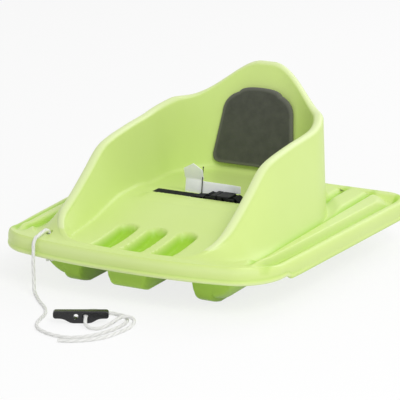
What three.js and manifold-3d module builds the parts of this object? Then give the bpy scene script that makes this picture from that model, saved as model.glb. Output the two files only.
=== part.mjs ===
// Baby pull sled: a hollow plastic tub sled with a high back, a foam back pad, a lap belt
// with a side-release buckle, a folded blank card on the belt, and a tow rope with a handle.
// Millimetres, +Z up, +Y to the rear, +X to the left of a child sitting in it.
// The origin is on the ground under the middle of the sled.
import * as THREE from 'three';
import { mergeVertices } from 'three/addons/utils/BufferGeometryUtils.js';
import Module from 'manifold-3d';

const wasm = await Module();
wasm.setup();

// Main sizes of the moulded shell
const sledLength = 586;
const sledHalfWidthRear = 289;
const sledHalfWidthFront = 262;
const bowDepth = 38;
const bowPowerShare = 2.4;
const deckHeight = 84;
const noseHeight = 92;
const bellyHeight = 58;
const frontHemHeight = 61;
const sideHemHeight = 53;
const wall = 2.6;

// Tub, measured in plan
const seatHalfWidth = 132;
const seatRearY = 192;
const seatCorner = 52;
const footwellHalfWidth = 120;
const footwellCorner = 39;
const footwellFrontY = -258;
const footwellStep = 6;
const rimInHalfWidth = 153;
const rimInFrontHalfWidth = 148;
const rimInRearY = 252;
const rimInCornerFront = 58;
const rimRearFlatHalf = 19;
const rimInCornerRear = rimInHalfWidth - rimRearFlatHalf;
const rimWidth = 19;
const deckSideWidth = 75;
const tubBaseHalfWidth = sledHalfWidthRear - deckSideWidth;
const tubBaseRearY = 236;
const tubCorner = 78;
const baseRearFlatHalf = 14;
const baseCorner = tubBaseHalfWidth - baseRearFlatHalf;

// Heights of the tub
const seatHeight = 116;
const seatDip = 8;
const seatDipRun = 58;
const footwellHeight = 87;
const shoulderHeight = 246;
const shoulderY = 185;
const headRise = 64;
const headFlatHalf = 12;
const headHalf = 135;
const headFrontY = 100;
const headFullY = 180;
const headLeanShare = 0.23;
const rimRound = 8;

// Deck
const deckRibHeight = 6;
const deckRibInset = 18;
const deckRibWidth = 20;
const grooveDepth = 5;
const lipWidth = 24;
const lipCornerRear = 48;
const lipCornerFront = 62;
const hemThickness = 5;
const hemRecess = 11;

// Channels in the footwell floor
const channelPitch = 58;
const channelWidth = 37.4;
const channelDepth = 18;
const channelRearY = -134;
const channelRoundShare = 0.22;

// Runners under the hull
const runnerInner = 104;
const runnerWidth = 46;
const runnerFrontY = -228;
const runnerRearY = 238;
const runnerNoseLength = 42;
const runnerTailLength = 55;
const runnerFlare = 34;
const flareShare = 0.55;
const flareHeightShare = 0.33;
const runnerDraft = 5;
const runnerEndShare = 0.78;
const soleRound = 4;
const runnerHollowInset = 73;
const runnerHollowTop = 10;
const keelHalfWidth = 40;
const keelBottom = 19;
const keelFrontY = -262;
const keelNoseLength = 24;

// Holes in the shell
const ropeHoleX = -162;
const ropeHoleY = -240;
const ropeHoleDiameter = 12;
const slotX = 93;
const slotY = 10;
const slotWidth = 5;
const drainDiameter = 8;
const drainY = 60;

// Back pad
// The pad reaches out to where the curved wall has come forward by this much
const padWallCurve = 15.73;
const padCornerReach = Math.sqrt((rimInCornerRear * 2 - padWallCurve) * padWallCurve);
const padWidth = (rimRearFlatHalf + padCornerReach) * 2;
const padHeight = 146;
const padThickness = 13;
const padCorner = 16;
const padDome = 22;
const padTopInset = 10;
const padTopCorner = 30;
const padBackSpare = 6;

// Belt
const webWidth = 25;
const webThickness = 1.6;
const slotFree = 1.2;
const buckleX = 38;
const socketLength = 36;
const socketWidth = 33;
const socketWall = 2.4;
const windowLength = 7;
const buckleHeight = 11;
const buckleCorner = 4;
const plugLength = 21;
const prongLength = 17;
const prongWidth = 5;
const stemWidth = 6;
const prongHeight = 4;
const loopBarDiameter = 5;
const longTail = 26;
const shortTail = 12;
const stopBarLength = 42;
const stopBarDiameter = 6;
const stopBarDrop = 1.5;
const sewnEndShare = 0.9;

// Folded card
const cardThickness = 1.2;
const cardWidth = 38;
const cardLowerHeight = 25;
const cardUpperHeight = 31;
const cardPeak = 12;
const cardBandLength = 78;
const cardBandHeight = 23;
const cardX = -25;
const cardY = 31;
const cardLean = 0.14;
const pinDiameter = 1.6;
const pinLength = 48;

// Rope and handle
const ropeDiameter = 6.4;
const handleLength = 92;
const handleDepth = 21;
const handleEnd = 13;
const handleThick = 14;
const handleHoleSide = 8;
const handleHoleHeight = 12;
const handleHoleFree = 0.8;
const handleX = -12;
const handleY = -391;
const handleTurn = 0.48;
const stopKnotDiameter = 19;
const stopKnotHeight = 15;

const gap = 0.3;
const cutOverrun = 20;
const roundSides = 20;
const turnSteps = 4;

// Stations round each loop of the shell
const frontStations = 7;
const cornerStations = 6;
const sideStations = 9;
const rearCornerStations = 8;
const rearStations = 4;

const finishes = {
  shell: { color: '#b9de5e', roughness: 0.42, metalness: 0 },
  foam: { color: '#3b3c38', roughness: 0.95, metalness: 0 },
  web: { color: '#17181a', roughness: 0.85, metalness: 0 },
  hardware: { color: '#1b1c1e', roughness: 0.35, metalness: 0 },
  card: { color: '#dfe0ec', roughness: 0.7, metalness: 0 },
  rope: { color: '#eeeeea', roughness: 0.9, metalness: 0 },
};

const halfLength = sledLength / 2;

function smooth(low, high, value) {
  const t = Math.min(1, Math.max(0, (value - low) / (high - low)));
  return t * t * (3 - 2 * t);
}

function mix(a, b, t) {
  return a + (b - a) * t;
}

// Reads a smooth curve through pairs of shares
function sampleShares(pairs, t) {
  const last = pairs.length - 1;
  if (t <= pairs[0][0]) return pairs[0][1];
  if (t >= pairs[last][0]) return pairs[last][1];
  let i = 0;
  while (t > pairs[i + 1][0]) i += 1;
  const slopeAt = (k) => {
    const a = pairs[Math.max(0, k - 1)];
    const b = pairs[Math.min(last, k + 1)];
    return (b[1] - a[1]) / (b[0] - a[0]);
  };
  const [x0, y0] = pairs[i];
  const [x1, y1] = pairs[i + 1];
  const h = x1 - x0;
  const u = (t - x0) / h;
  const m0 = slopeAt(i) * h;
  const m1 = slopeAt(i + 1) * h;
  return (2 * u ** 3 - 3 * u ** 2 + 1) * y0 + (u ** 3 - 2 * u ** 2 + u) * m0
    + (3 * u ** 2 - 2 * u ** 3) * y1 + (u ** 3 - u ** 2) * m1;
}

// How steeply the hollow's front climbs
const hollowClimbShare = 0.95;
// Height of the tub's side along its length, in shares of the tub's length and height
const rimShares = [
  [0, 0], [0.042, 0.05], [0.134, 0.215], [0.232, 0.373], [0.334, 0.563], [0.428, 0.747],
  [0.5, 0.81], [0.677, 0.868], [0.833, 0.9], [0.922, 0.945], [1, 1],
];
// Height of the seat and footwell along the same length
const floorShares = [
  [0, 0], [0.12, 0.02], [0.28, 0.32], [0.42, 0.8], [0.51, 1], [1, 1],
];
// The inner wall's section, from the seat's edge to the rim
const wallShares = [[0, 0], [0.2, 0.01], [0.3, 0.03], [0.4, 0.07], [0.6, 0.38], [0.8, 0.69], [1, 1]];
// The outer wall's section, from the rim down to the deck
const outerShares = [[0.3, 0.36], [0.58, 0.7], [0.8, 0.9], [1, 1]];

const tubFrontY = footwellFrontY - footwellStep;

function alongTub(y) {
  return (y - tubFrontY) / (shoulderY - tubFrontY);
}

function headShape(x) {
  return 1 - smooth(headFlatHalf, headHalf, Math.abs(x));
}

function rimHeight(x, y) {
  const side = mix(noseHeight, shoulderHeight, sampleShares(rimShares, alongTub(y)));
  return side + headRise * headShape(x) * smooth(headFrontY, headFullY, y);
}

function floorHeight(x, y) {
  const rise = Math.min(1, sampleShares(floorShares, alongTub(y)));
  const dip = seatDip * smooth(slotY + webWidth / 2, slotY + webWidth / 2 + seatDipRun, y);
  return mix(footwellHeight, seatHeight, rise) - dip;
}

// Loops in plan: rounded rectangles with their own width and corners at each end
const foot = {
  front: footwellFrontY, rear: seatRearY, halfFront: footwellHalfWidth, halfRear: seatHalfWidth,
  cornerFront: footwellCorner, cornerRear: seatCorner,
};
const rimIn = {
  front: tubFrontY, rear: rimInRearY, halfFront: rimInFrontHalfWidth, halfRear: rimInHalfWidth,
  cornerFront: rimInCornerFront, cornerRear: rimInCornerRear,
};
const rimOut = {
  front: tubFrontY - rimWidth / 3, rear: rimInRearY + rimWidth,
  halfFront: rimInFrontHalfWidth + rimWidth, halfRear: rimInHalfWidth + rimWidth,
  cornerFront: tubCorner, cornerRear: rimInCornerRear + rimWidth,
};
const lipEdge = {
  front: -halfLength, rear: halfLength, halfFront: sledHalfWidthFront, halfRear: sledHalfWidthRear,
  cornerFront: lipCornerFront, cornerRear: lipCornerRear,
};
const tubBase = {
  front: tubFrontY - rimWidth / 2, rear: tubBaseRearY,
  halfFront: tubBaseHalfWidth, halfRear: tubBaseHalfWidth,
  cornerFront: tubCorner, cornerRear: baseCorner,
};

// The same loop, moved inwards by a distance
function inset(ring, side, end = side) {
  return {
    front: ring.front + end, rear: ring.rear - side,
    halfFront: ring.halfFront - side, halfRear: ring.halfRear - side,
    cornerFront: Math.max(ring.cornerFront - side, lipWidth),
    cornerRear: Math.max(ring.cornerRear - side, lipWidth),
  };
}

function blendRings(a, b, t) {
  const out = {};
  for (const key of Object.keys(a)) out[key] = mix(a[key], b[key], t);
  return out;
}

function halfStations() {
  const list = [];
  for (let i = 0; i < frontStations; i += 1) list.push(['front', i / frontStations]);
  for (let i = 0; i < cornerStations; i += 1) list.push(['frontCorner', i / cornerStations]);
  for (let i = 0; i < sideStations; i += 1) list.push(['side', i / sideStations]);
  for (let i = 0; i < rearCornerStations; i += 1) list.push(['rearCorner', i / rearCornerStations]);
  for (let i = 0; i <= rearStations; i += 1) list.push(['rear', i / rearStations]);
  return list;
}

// All stations round a loop, with the side of the sled each one lies on
function loopStations() {
  const half = halfStations();
  const other = half.slice(1, -1).reverse();
  return [...half.map((s) => [...s, 1]), ...other.map((s) => [...s, -1])];
}

function bowAt(x, y) {
  const fade = 1 - smooth(-halfLength * 0.86, -halfLength * 0.4, y);
  return bowDepth * (Math.abs(x) / sledHalfWidthFront) ** bowPowerShare * fade;
}

function planPoint(ring, [part, t, side]) {
  const turn = t * Math.PI / 2;
  let x = 0;
  let y = 0;
  if (part === 'front') {
    x = (ring.halfFront - ring.cornerFront) * t;
    y = ring.front;
  } else if (part === 'frontCorner') {
    x = ring.halfFront - ring.cornerFront * (1 - Math.sin(turn));
    y = ring.front + ring.cornerFront * (1 - Math.cos(turn));
  } else if (part === 'side') {
    x = mix(ring.halfFront, ring.halfRear, t);
    y = mix(ring.front + ring.cornerFront, ring.rear - ring.cornerRear, t);
  } else if (part === 'rearCorner') {
    x = ring.halfRear - ring.cornerRear * (1 - Math.cos(turn));
    y = ring.rear - ring.cornerRear * (1 - Math.sin(turn));
  } else {
    x = (ring.halfRear - ring.cornerRear) * (1 - t);
    y = ring.rear;
  }
  return [x * side, y + bowAt(x, y)];
}

// A level of the shell: a loop in plan with a height, leaned back where the head rest rises
function level(ring, heightAt, leanShare = 0) {
  return loopStations().map((station) => {
    const [x, y] = planPoint(ring, station);
    const back = leanShare * headLeanShare * headRise * headShape(x) * smooth(0, rimInRearY, y);
    return new THREE.Vector3(x, y + back, heightAt(x, y));
  });
}

// A level between two others: one share in plan and one in height
function between(lower, upper, planShare, heightShare) {
  return lower.map((a, i) => {
    const b = upper[i];
    return new THREE.Vector3(
      mix(a.x, b.x, planShare), mix(a.y, b.y, planShare), mix(a.z, b.z, heightShare),
    );
  });
}

// A closed body from levels of equal count, with a point closing each end
function bodyFromLevels(levels, firstPoint, lastPoint) {
  const count = levels[0].length;
  const points = [firstPoint, ...levels.flat(), lastPoint];
  const last = points.length - 1;
  const index = [];
  const at = (row, i) => 1 + row * count + (i % count);
  for (let i = 0; i < count; i += 1) {
    index.push(0, at(0, i), at(0, i + 1));
    for (let row = 0; row < levels.length - 1; row += 1) {
      index.push(at(row, i), at(row + 1, i), at(row + 1, i + 1));
      index.push(at(row, i), at(row + 1, i + 1), at(row, i + 1));
    }
    index.push(at(levels.length - 1, i), last, at(levels.length - 1, i + 1));
  }
  const geometry = new THREE.BufferGeometry().setFromPoints(points);
  geometry.setIndex(index);
  return geometry;
}

function toSolid(geometry) {
  const bare = geometry.clone();
  for (const name of Object.keys(bare.attributes)) {
    if (name !== 'position') bare.deleteAttribute(name);
  }
  const merged = mergeVertices(bare);
  const mesh = new wasm.Mesh({
    numProp: 3,
    vertProperties: new Float32Array(merged.attributes.position.array),
    triVerts: new Uint32Array(merged.index.array),
  });
  return new wasm.Manifold(mesh);
}

function toGeometry(solid) {
  const mesh = solid.getMesh();
  const geometry = new THREE.BufferGeometry();
  geometry.setAttribute('position', new THREE.BufferAttribute(new Float32Array(mesh.vertProperties), 3));
  geometry.setIndex(new THREE.BufferAttribute(new Uint32Array(mesh.triVerts), 1));
  return geometry;
}

function tubLevels(rings, heights) {
  const low = level(rings.foot, heights.floor);
  const inner = level(rings.rimIn, heights.rimSide, 1);
  const outer = level(rings.rimOut, heights.rimSide, 1);
  const base = level(rings.tubBase, heights.base);
  const levels = wallShares.map(([p, h]) => between(low, inner, p, h));
  levels.push(level(blendRings(rings.rimIn, rings.rimOut, 0.22), heights.rimNear, 1));
  levels.push(level(blendRings(rings.rimIn, rings.rimOut, 0.5), heights.rimTop, 1));
  levels.push(level(blendRings(rings.rimIn, rings.rimOut, 0.78), heights.rimNear, 1));
  levels.push(outer);
  for (const [p, h] of outerShares) levels.push(between(outer, base, p, h));
  return levels;
}

function deckAt(x, y) {
  return mix(noseHeight, deckHeight, smooth(-halfLength * 0.9, -halfLength * 0.62, y));
}

function ribFade(y) {
  const rear = smooth(halfLength * 0.82, halfLength * 0.92, y);
  return smooth(-halfLength * 0.86, -halfLength * 0.7, y) * (1 - rear);
}

function hemHeight(x, y) {
  return mix(frontHemHeight, sideHemHeight, smooth(-halfLength * 0.62, -halfLength * 0.56, y));
}

// The outside of the shell, from the seat out to the hem and back under the belly
function shellOutside() {
  const floorAt = (x, y) => floorHeight(x, y);
  const levels = [0.3, 0.55, 0.8].map((share) => level(shrink(foot, share), floorAt));
  levels.push(...tubLevels({ foot, rimIn, rimOut, tubBase }, {
    floor: floorAt,
    rimSide: (x, y) => rimHeight(x, y) - rimRound * smooth(tubFrontY, tubFrontY + tubCorner, y),
    rimNear: (x, y) => rimHeight(x, y) - rimRound / 4 * smooth(tubFrontY, tubFrontY + tubCorner, y),
    rimTop: rimHeight,
    base: (x, y) => deckAt(x, y) - gap,
  }));
  const groove = inset(lipEdge, lipWidth, lipWidth / 3);
  const crest = inset(lipEdge, lipWidth / 2, lipWidth / 4);
  const ribHeightAt = (x, y) => deckAt(x, y) + deckRibHeight * ribFade(y);
  const ribSpan = deckSideWidth - lipWidth;
  const ribStart = deckRibInset / ribSpan;
  const ribEnd = (deckRibInset + deckRibWidth) / ribSpan;
  levels.push(level(blendRings(tubBase, groove, ribStart * 0.6), (x, y) => deckAt(x, y) - gap));
  levels.push(level(blendRings(tubBase, groove, ribStart), ribHeightAt));
  levels.push(level(blendRings(tubBase, groove, ribEnd), ribHeightAt));
  levels.push(level(blendRings(tubBase, groove, mix(ribEnd, 1, 0.5)), deckAt));
  levels.push(level(groove, (x, y) => deckAt(x, y) - grooveDepth * ribFade(y)));
  levels.push(level(crest, (x, y) => deckAt(x, y) + gap));
  levels.push(level(inset(lipEdge, lipWidth / 8), (x, y) => deckAt(x, y) - hemThickness));
  levels.push(level(lipEdge, (x, y) => mix(deckAt(x, y), hemHeight(x, y), 0.5)));
  levels.push(level(inset(lipEdge, hemThickness / 3), hemHeight));
  levels.push(level(inset(lipEdge, hemThickness), hemHeight));
  levels.push(level(inset(lipEdge, hemThickness * 1.8), (x, y) => hemHeight(x, y) + hemRecess));
  const bellyEdge = inset(lipEdge, lipWidth * 2);
  levels.push(level(bellyEdge, () => bellyHeight));
  levels.push(level(shrink(bellyEdge, 0.5), () => bellyHeight));
  const middle = (bellyEdge.front + bellyEdge.rear) / 2;
  const seatMiddle = (foot.front + foot.rear) / 2;
  const top = new THREE.Vector3(0, seatMiddle, floorHeight(0, seatMiddle));
  return bodyFromLevels(levels, top, new THREE.Vector3(0, middle, bellyHeight));
}

// A loop scaled about its own middle
function shrink(ring, share) {
  const middle = (ring.front + ring.rear) / 2;
  return {
    front: mix(middle, ring.front, share), rear: mix(middle, ring.rear, share),
    halfFront: ring.halfFront * share, halfRear: ring.halfRear * share,
    cornerFront: ring.cornerFront * share, cornerRear: ring.cornerRear * share,
  };
}

// The hollow inside the shell, one wall in from the outside
function shellHollow() {
  const endSpace = tubCorner * 0.8;
  const move = (ring, out, end) => ({
    ...ring, front: ring.front + end, rear: ring.rear + out,
    halfFront: ring.halfFront + out, halfRear: ring.halfRear + out,
  });
  const deckRing = blendRings(tubBase, inset(lipEdge, lipWidth), 0.62);
  const rings = {
    foot: move(foot, wall, endSpace),
    rimIn: move(rimIn, wall, endSpace - wall),
    rimOut: move(rimOut, -wall, endSpace - wall),
    tubBase: move(tubBase, -wall, endSpace - wall),
  };
  const low = bellyHeight + wall * 2;
  const climb = (y) => low + (y - rings.rimIn.front) * hollowClimbShare;
  const under = (height) => (x, y) => Math.max(low, Math.min(height(x, y) - wall, climb(y)));
  const floorUnder = (x, y) => {
    const channel = channelDepth * (1 - smooth(channelRearY, channelRearY + channelWidth, y));
    return Math.max(low, floorHeight(x, y) - wall - channel);
  };
  const levels = [0.4, 0.75].map((share) => level(shrink(rings.foot, share), floorUnder));
  levels.push(...tubLevels(rings, {
    floor: floorUnder,
    rimSide: under((x, y) => rimHeight(x, y) - rimRound),
    rimNear: under((x, y) => rimHeight(x, y) - rimRound / 3),
    rimTop: under(rimHeight),
    base: under(deckAt),
  }));
  levels.push(level(move(deckRing, -wall, endSpace - wall * 4), under(deckAt)));
  const floorRing = move(deckRing, -wall * 4, endSpace + wall);
  levels.push(level(floorRing, () => bellyHeight + wall));
  levels.push(level(shrink(floorRing, 0.5), () => bellyHeight + wall));
  const middle = (floorRing.front + floorRing.rear) / 2;
  const seatMiddle = (rings.foot.front + rings.foot.rear) / 2;
  const top = new THREE.Vector3(0, seatMiddle, floorUnder(0, seatMiddle));
  return bodyFromLevels(levels, top, new THREE.Vector3(0, middle, bellyHeight + wall));
}

// Runner profile along its length: share of the length and share of the depth
const noseShares = [[0, 0.58], [0.12, 0.74], [0.35, 0.86], [0.65, 0.94], [1, 1]];

// A runner under the hull: lofted cross-sections with a flared outer side and rounded ends
function runnerGeometry(runner, shrinkBy, top) {
  const { centreX, halfWidth, bottom, frontY, noseLength, flare } = runner;
  const steps = [];
  const endInset = shrinkBy > 0 ? runnerHollowInset : 0;
  const spread = flare;
  for (const [s, d] of noseShares) steps.push([frontY + endInset + s * noseLength, d]);
  for (const [s, d] of [...noseShares].reverse()) {
    steps.push([runnerRearY - endInset - s * runnerTailLength, d]);
  }
  const levels = steps.map(([y, depth]) => {
    const low = mix(top, bottom + shrinkBy, depth);
    const w = (halfWidth - shrinkBy) * mix(runnerEndShare, 1, depth);
    const sole = w - runnerDraft;
    const middle = mix(low, top, flareHeightShare);
    const left = centreX < 0 ? spread : 0;
    const right = centreX > 0 ? spread : 0;
    const profile = [
      [-w - left, top], [-w - left * flareShare, middle],
      [-sole - gap, low + soleRound], [-sole + soleRound, low],
      [sole - soleRound, low], [sole + gap, low + soleRound],
      [w + right * flareShare, middle], [w + right, top],
    ];
    return profile.map(([x, z]) => new THREE.Vector3(centreX + x, y, z));
  });
  const first = levels[0];
  const last = levels[levels.length - 1];
  const centre = (row) => row.reduce((sum, p) => sum.add(p), new THREE.Vector3()).divideScalar(row.length);
  return bodyFromLevels(levels, centre(first), centre(last));
}

function runners(shrinkBy, top) {
  const halfWidth = runnerWidth / 2;
  const outer = {
    halfWidth, bottom: 0, frontY: runnerFrontY, noseLength: runnerNoseLength, flare: runnerFlare,
  };
  const keel = {
    centreX: 0, halfWidth: keelHalfWidth, bottom: keelBottom,
    frontY: keelFrontY, noseLength: keelNoseLength, flare: 0,
  };
  return [
    { ...outer, centreX: runnerInner + halfWidth },
    { ...outer, centreX: -runnerInner - halfWidth },
    keel,
  ].map((runner) => facesOut(runnerGeometry(runner, shrinkBy, top)));
}

// Turns a body's faces outwards if its volume comes out negative
function facesOut(geometry) {
  const p = geometry.attributes.position;
  const index = geometry.index.array;
  const a = new THREE.Vector3();
  const b = new THREE.Vector3();
  const c = new THREE.Vector3();
  let volume = 0;
  for (let i = 0; i < index.length; i += 3) {
    a.fromBufferAttribute(p, index[i]);
    b.fromBufferAttribute(p, index[i + 1]);
    c.fromBufferAttribute(p, index[i + 2]);
    volume += a.dot(b.cross(c));
  }
  if (volume < 0) {
    for (let i = 0; i < index.length; i += 3) {
      [index[i + 1], index[i + 2]] = [index[i + 2], index[i + 1]];
    }
  }
  return geometry;
}

// A channel in the footwell: a rounded trough that deepens to the front and fades at the rear
function channelCutter(centreX) {
  const shares = [[0, 1, 0.9], [0.4, 1, 1], [0.75, 0.86, 1], [0.92, 0.5, 0.86], [1, -0.15, 0.5]];
  const front = footwellFrontY + 2 * gap + bowAt(centreX, footwellFrontY) + rimRound / 4;
  const span = channelRearY - front;
  const levels = shares.map(([s, depth, width]) => {
    const y = front + s * span;
    const floor = floorHeight(centreX, y);
    const low = floor - channelDepth * depth;
    const half = channelWidth / 2 * width;
    const lip = floor + channelDepth / 2;
    const shoulder = low + channelDepth * Math.abs(depth) * channelRoundShare;
    const profile = [
      [-1.15, lip], [-0.84, shoulder], [-0.45, low], [0.45, low], [0.84, shoulder], [1.15, lip],
    ];
    return profile.map(([x, z]) => new THREE.Vector3(centreX + x * half, y, z));
  });
  const centre = (row) => row.reduce((sum, p) => sum.add(p), new THREE.Vector3()).divideScalar(row.length);
  return facesOut(bodyFromLevels(levels, centre(levels[0]), centre(levels[levels.length - 1])));
}

function uprightCylinder(diameter, low, high, x, y, sides = roundSides) {
  const geometry = new THREE.CylinderGeometry(diameter / 2, diameter / 2, high - low, sides);
  geometry.rotateX(Math.PI / 2);
  geometry.translate(x, y, (low + high) / 2);
  return geometry;
}

function makeShell() {
  let solid = toSolid(facesOut(shellOutside()));
  for (const runner of runners(0, bellyHeight + wall)) solid = solid.add(toSolid(runner));
  let hollow = toSolid(facesOut(shellHollow()));
  for (const runner of runners(wall, bellyHeight + runnerHollowTop)) hollow = hollow.add(toSolid(runner));
  solid = solid.subtract(hollow);
  for (const x of [-channelPitch, 0, channelPitch]) solid = solid.subtract(toSolid(channelCutter(x)));
  const hole = uprightCylinder(ropeHoleDiameter, 0, noseHeight + cutOverrun, ropeHoleX, ropeHoleY);
  solid = solid.subtract(toSolid(hole));
  const drain = uprightCylinder(drainDiameter, 0, bellyHeight + wall * 2, -slotX + runnerDraft, drainY, 12);
  solid = solid.subtract(toSolid(drain));
  for (const side of [-1, 1]) {
    const slot = new THREE.BoxGeometry(slotWidth, webWidth + 2 * slotFree, cutOverrun);
    slot.translate(side * slotX, slotY, floorHeight(0, slotY));
    solid = solid.subtract(toSolid(slot));
  }
  return toGeometry(solid);
}

// The back pad's outline, with its foot at the origin and its top along +Y
function padOutline() {
  const half = padWidth / 2;
  const topHalf = half - padTopInset;
  const side = padHeight - padDome;
  const shape = new THREE.Shape();
  shape.moveTo(-half + padCorner, 0);
  shape.lineTo(half - padCorner, 0);
  shape.quadraticCurveTo(half, 0, half, padCorner);
  shape.lineTo(topHalf, side - padTopCorner);
  shape.quadraticCurveTo(topHalf - gap, side, topHalf - padTopCorner, side + padDome / 2);
  shape.quadraticCurveTo(topHalf / 2, padHeight, 0, padHeight);
  shape.quadraticCurveTo(-topHalf / 2, padHeight, -topHalf + padTopCorner, side + padDome / 2);
  shape.quadraticCurveTo(-topHalf + gap, side, -topHalf, side - padTopCorner);
  shape.lineTo(-half, padCorner);
  shape.quadraticCurveTo(-half, 0, -half + padCorner, 0);
  return shape;
}

// Two places on the straight part of the back wall, in the middle plane
function backWallLine() {
  const [planLow, heightLow] = wallShares[3];
  const low = new THREE.Vector2(seatRearY, floorHeight(0, seatRearY));
  const lean = headLeanShare * headRise;
  const high = new THREE.Vector2(rimInRearY + lean, rimHeight(0, rimInRearY) - rimRound);
  const from = new THREE.Vector2(mix(low.x, high.x, planLow), mix(low.y, high.y, heightLow));
  return [from, high];
}

// Stands the pad on the back wall, leaned as the wall leans
function placePad(mesh) {
  const [low, high] = backWallLine();
  mesh.rotation.x = Math.PI / 2 - Math.atan2(high.x - low.x, high.y - low.y);
  mesh.position.set(0, low.x, low.y);
}

// The pad: a slab whose back is cut to the wall that it is glued to
function makePad() {
  const geometry = new THREE.ExtrudeGeometry(padOutline(), {
    depth: padThickness + padBackSpare, bevelEnabled: false, curveSegments: 6,
  });
  geometry.translate(0, 0, -padBackSpare);
  const mesh = namedMesh('back_pad', geometry, 'foam');
  placePad(mesh);
  mesh.updateMatrix();
  const block = facesOut(shellOutside());
  block.applyMatrix4(mesh.matrix.clone().invert());
  block.translate(0, 0, gap);
  mesh.geometry = toGeometry(toSolid(geometry).subtract(toSolid(block)));
  return mesh;
}

// A strip of webbing: a path in the X and Z plane, given its thickness, and its width along Y
function ribbonGeometry(path) {
  const upper = [];
  const lower = [];
  path.forEach((point, i) => {
    const before = path[Math.max(0, i - 1)];
    const after = path[Math.min(path.length - 1, i + 1)];
    const along = after.clone().sub(before).normalize();
    const across = new THREE.Vector2(-along.y, along.x).multiplyScalar(webThickness / 2);
    upper.push(point.clone().add(across));
    lower.push(point.clone().sub(across));
  });
  const shape = new THREE.Shape([...upper, ...lower.reverse()]);
  const geometry = new THREE.ExtrudeGeometry(shape, { depth: webWidth, bevelEnabled: false });
  geometry.rotateX(Math.PI / 2);
  geometry.translate(0, slotY + webWidth / 2, 0);
  return geometry;
}

function arcPath(x, z, radius, from, to, steps) {
  const points = [];
  for (let i = 0; i <= steps; i += 1) {
    const turn = mix(from, to, i / steps);
    points.push(new THREE.Vector2(x + radius * Math.cos(turn), z + radius * Math.sin(turn)));
  }
  return points;
}

// Heights that the belt's pieces share
const beltLow = seatHeight + gap;
const webMiddle = beltLow + webThickness / 2;
const buckleMiddle = beltLow + buckleHeight / 2;
const stopTurn = stopBarDiameter / 2 + 2 * gap + webThickness / 2;
const stopBarZ = seatHeight - wall - stopBarDrop - webThickness / 2 - stopTurn;

// Where the strap of one side meets its stop bar, beside the slot's own line
function stopBarX(side) {
  return side * (slotX + stopTurn);
}

// One side's strap: a sewn loop round its stop bar, up through the slot, along the seat,
// round its half of the buckle and back over itself
function strapGeometry(side, barX, tail) {
  const quarter = Math.PI / 2;
  const inward = -side;
  const x = (angle) => (side > 0 ? angle : Math.PI - angle);
  const startTurn = x(quarter * sewnEndShare);
  const path = arcPath(stopBarX(side), stopBarZ, stopTurn, startTurn, x(-Math.PI), turnSteps * 2);
  const bend = slotWidth / 2;
  const bendX = side * slotX + inward * bend;
  path.push(...arcPath(bendX, webMiddle - bend, bend, x(0), x(quarter), turnSteps));
  const loopTurn = loopBarDiameter / 2 + 2 * gap + webThickness / 2;
  path.push(new THREE.Vector2(barX - inward * loopTurn * 2, webMiddle));
  path.push(...arcPath(barX, buckleMiddle, loopTurn, x(-quarter), x(-Math.PI), turnSteps));
  path.push(...arcPath(barX, buckleMiddle, loopTurn, x(-Math.PI), x(-3.5 * quarter), turnSteps).slice(1));
  path.push(new THREE.Vector2(barX - inward * loopTurn * 2, webMiddle + webThickness * 2));
  path.push(new THREE.Vector2(barX - inward * tail, webMiddle + webThickness + gap));
  return ribbonGeometry(path);
}

function boxAt(lengthX, widthY, heightZ, x, y, z) {
  const geometry = new THREE.BoxGeometry(lengthX, widthY, heightZ);
  geometry.translate(x, y, z);
  return toSolid(geometry);
}

// A plate in plan with rounded corners, standing on a height
function plateSolid(lengthX, widthY, heightZ, x, y, low, corner) {
  const a = lengthX / 2;
  const b = widthY / 2;
  const quarter = Math.PI / 2;
  const shape = new THREE.Shape();
  shape.absarc(a - corner, -b + corner, corner, -quarter, 0);
  shape.absarc(a - corner, b - corner, corner, 0, quarter);
  shape.absarc(-a + corner, b - corner, corner, quarter, Math.PI);
  shape.absarc(-a + corner, -b + corner, corner, Math.PI, 3 * quarter);
  const geometry = new THREE.ExtrudeGeometry(shape, {
    depth: heightZ, bevelEnabled: false, curveSegments: turnSteps,
  });
  geometry.translate(x, y, low);
  return toSolid(geometry);
}

// Places along the buckle: the socket on the left of the seat, the plug on its right
const socketMouth = buckleX;
const socketEnd = socketMouth + socketLength;
const plugFace = socketMouth - gap;
const plugEnd = plugFace - plugLength;
const armWidth = (socketWidth - webWidth) / 2 - slotFree;
const armReach = (webWidth + armWidth) / 2 + slotFree;
const armLength = loopBarDiameter + 2 * webThickness + 2 * slotFree;

// The side arms and the bar that carry a strap's loop, from inside the body to the outer end
function loopFrame(bodyEnd, outerEnd) {
  const outward = Math.sign(outerEnd - bodyEnd);
  const inner = bodyEnd - outward * armWidth;
  const middle = (inner + outerEnd) / 2;
  const length = Math.abs(outerEnd - inner);
  const low = buckleMiddle - loopBarDiameter / 2;
  const bar = new THREE.CylinderGeometry(
    loopBarDiameter / 2, loopBarDiameter / 2, 2 * armReach, roundSides / 2,
  );
  bar.translate(outerEnd - outward * loopBarDiameter / 2, slotY, buckleMiddle);
  let frame = toSolid(bar);
  for (const side of [-1, 1]) {
    const y = slotY + side * armReach;
    frame = frame.add(plateSolid(length, armWidth, loopBarDiameter, middle, y, low, armWidth / 4));
  }
  return frame;
}

function makeSocket() {
  const length = socketLength - armLength;
  const body = plateSolid(
    length, socketWidth, buckleHeight, socketMouth + length / 2, slotY, beltLow, buckleCorner,
  );
  const room = prongLength + slotFree;
  const tall = prongHeight + 2 * slotFree;
  const inside = socketWidth - 2 * socketWall;
  const mouth = boxAt(2 * room, inside, tall, socketMouth, slotY, buckleMiddle);
  const windowX = socketMouth + room - windowLength / 2;
  const window = boxAt(windowLength, socketWidth + cutOverrun, tall, windowX, slotY, buckleMiddle);
  const frame = loopFrame(socketMouth + length, socketEnd);
  return toGeometry(body.subtract(mouth).subtract(window).add(frame));
}

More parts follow.
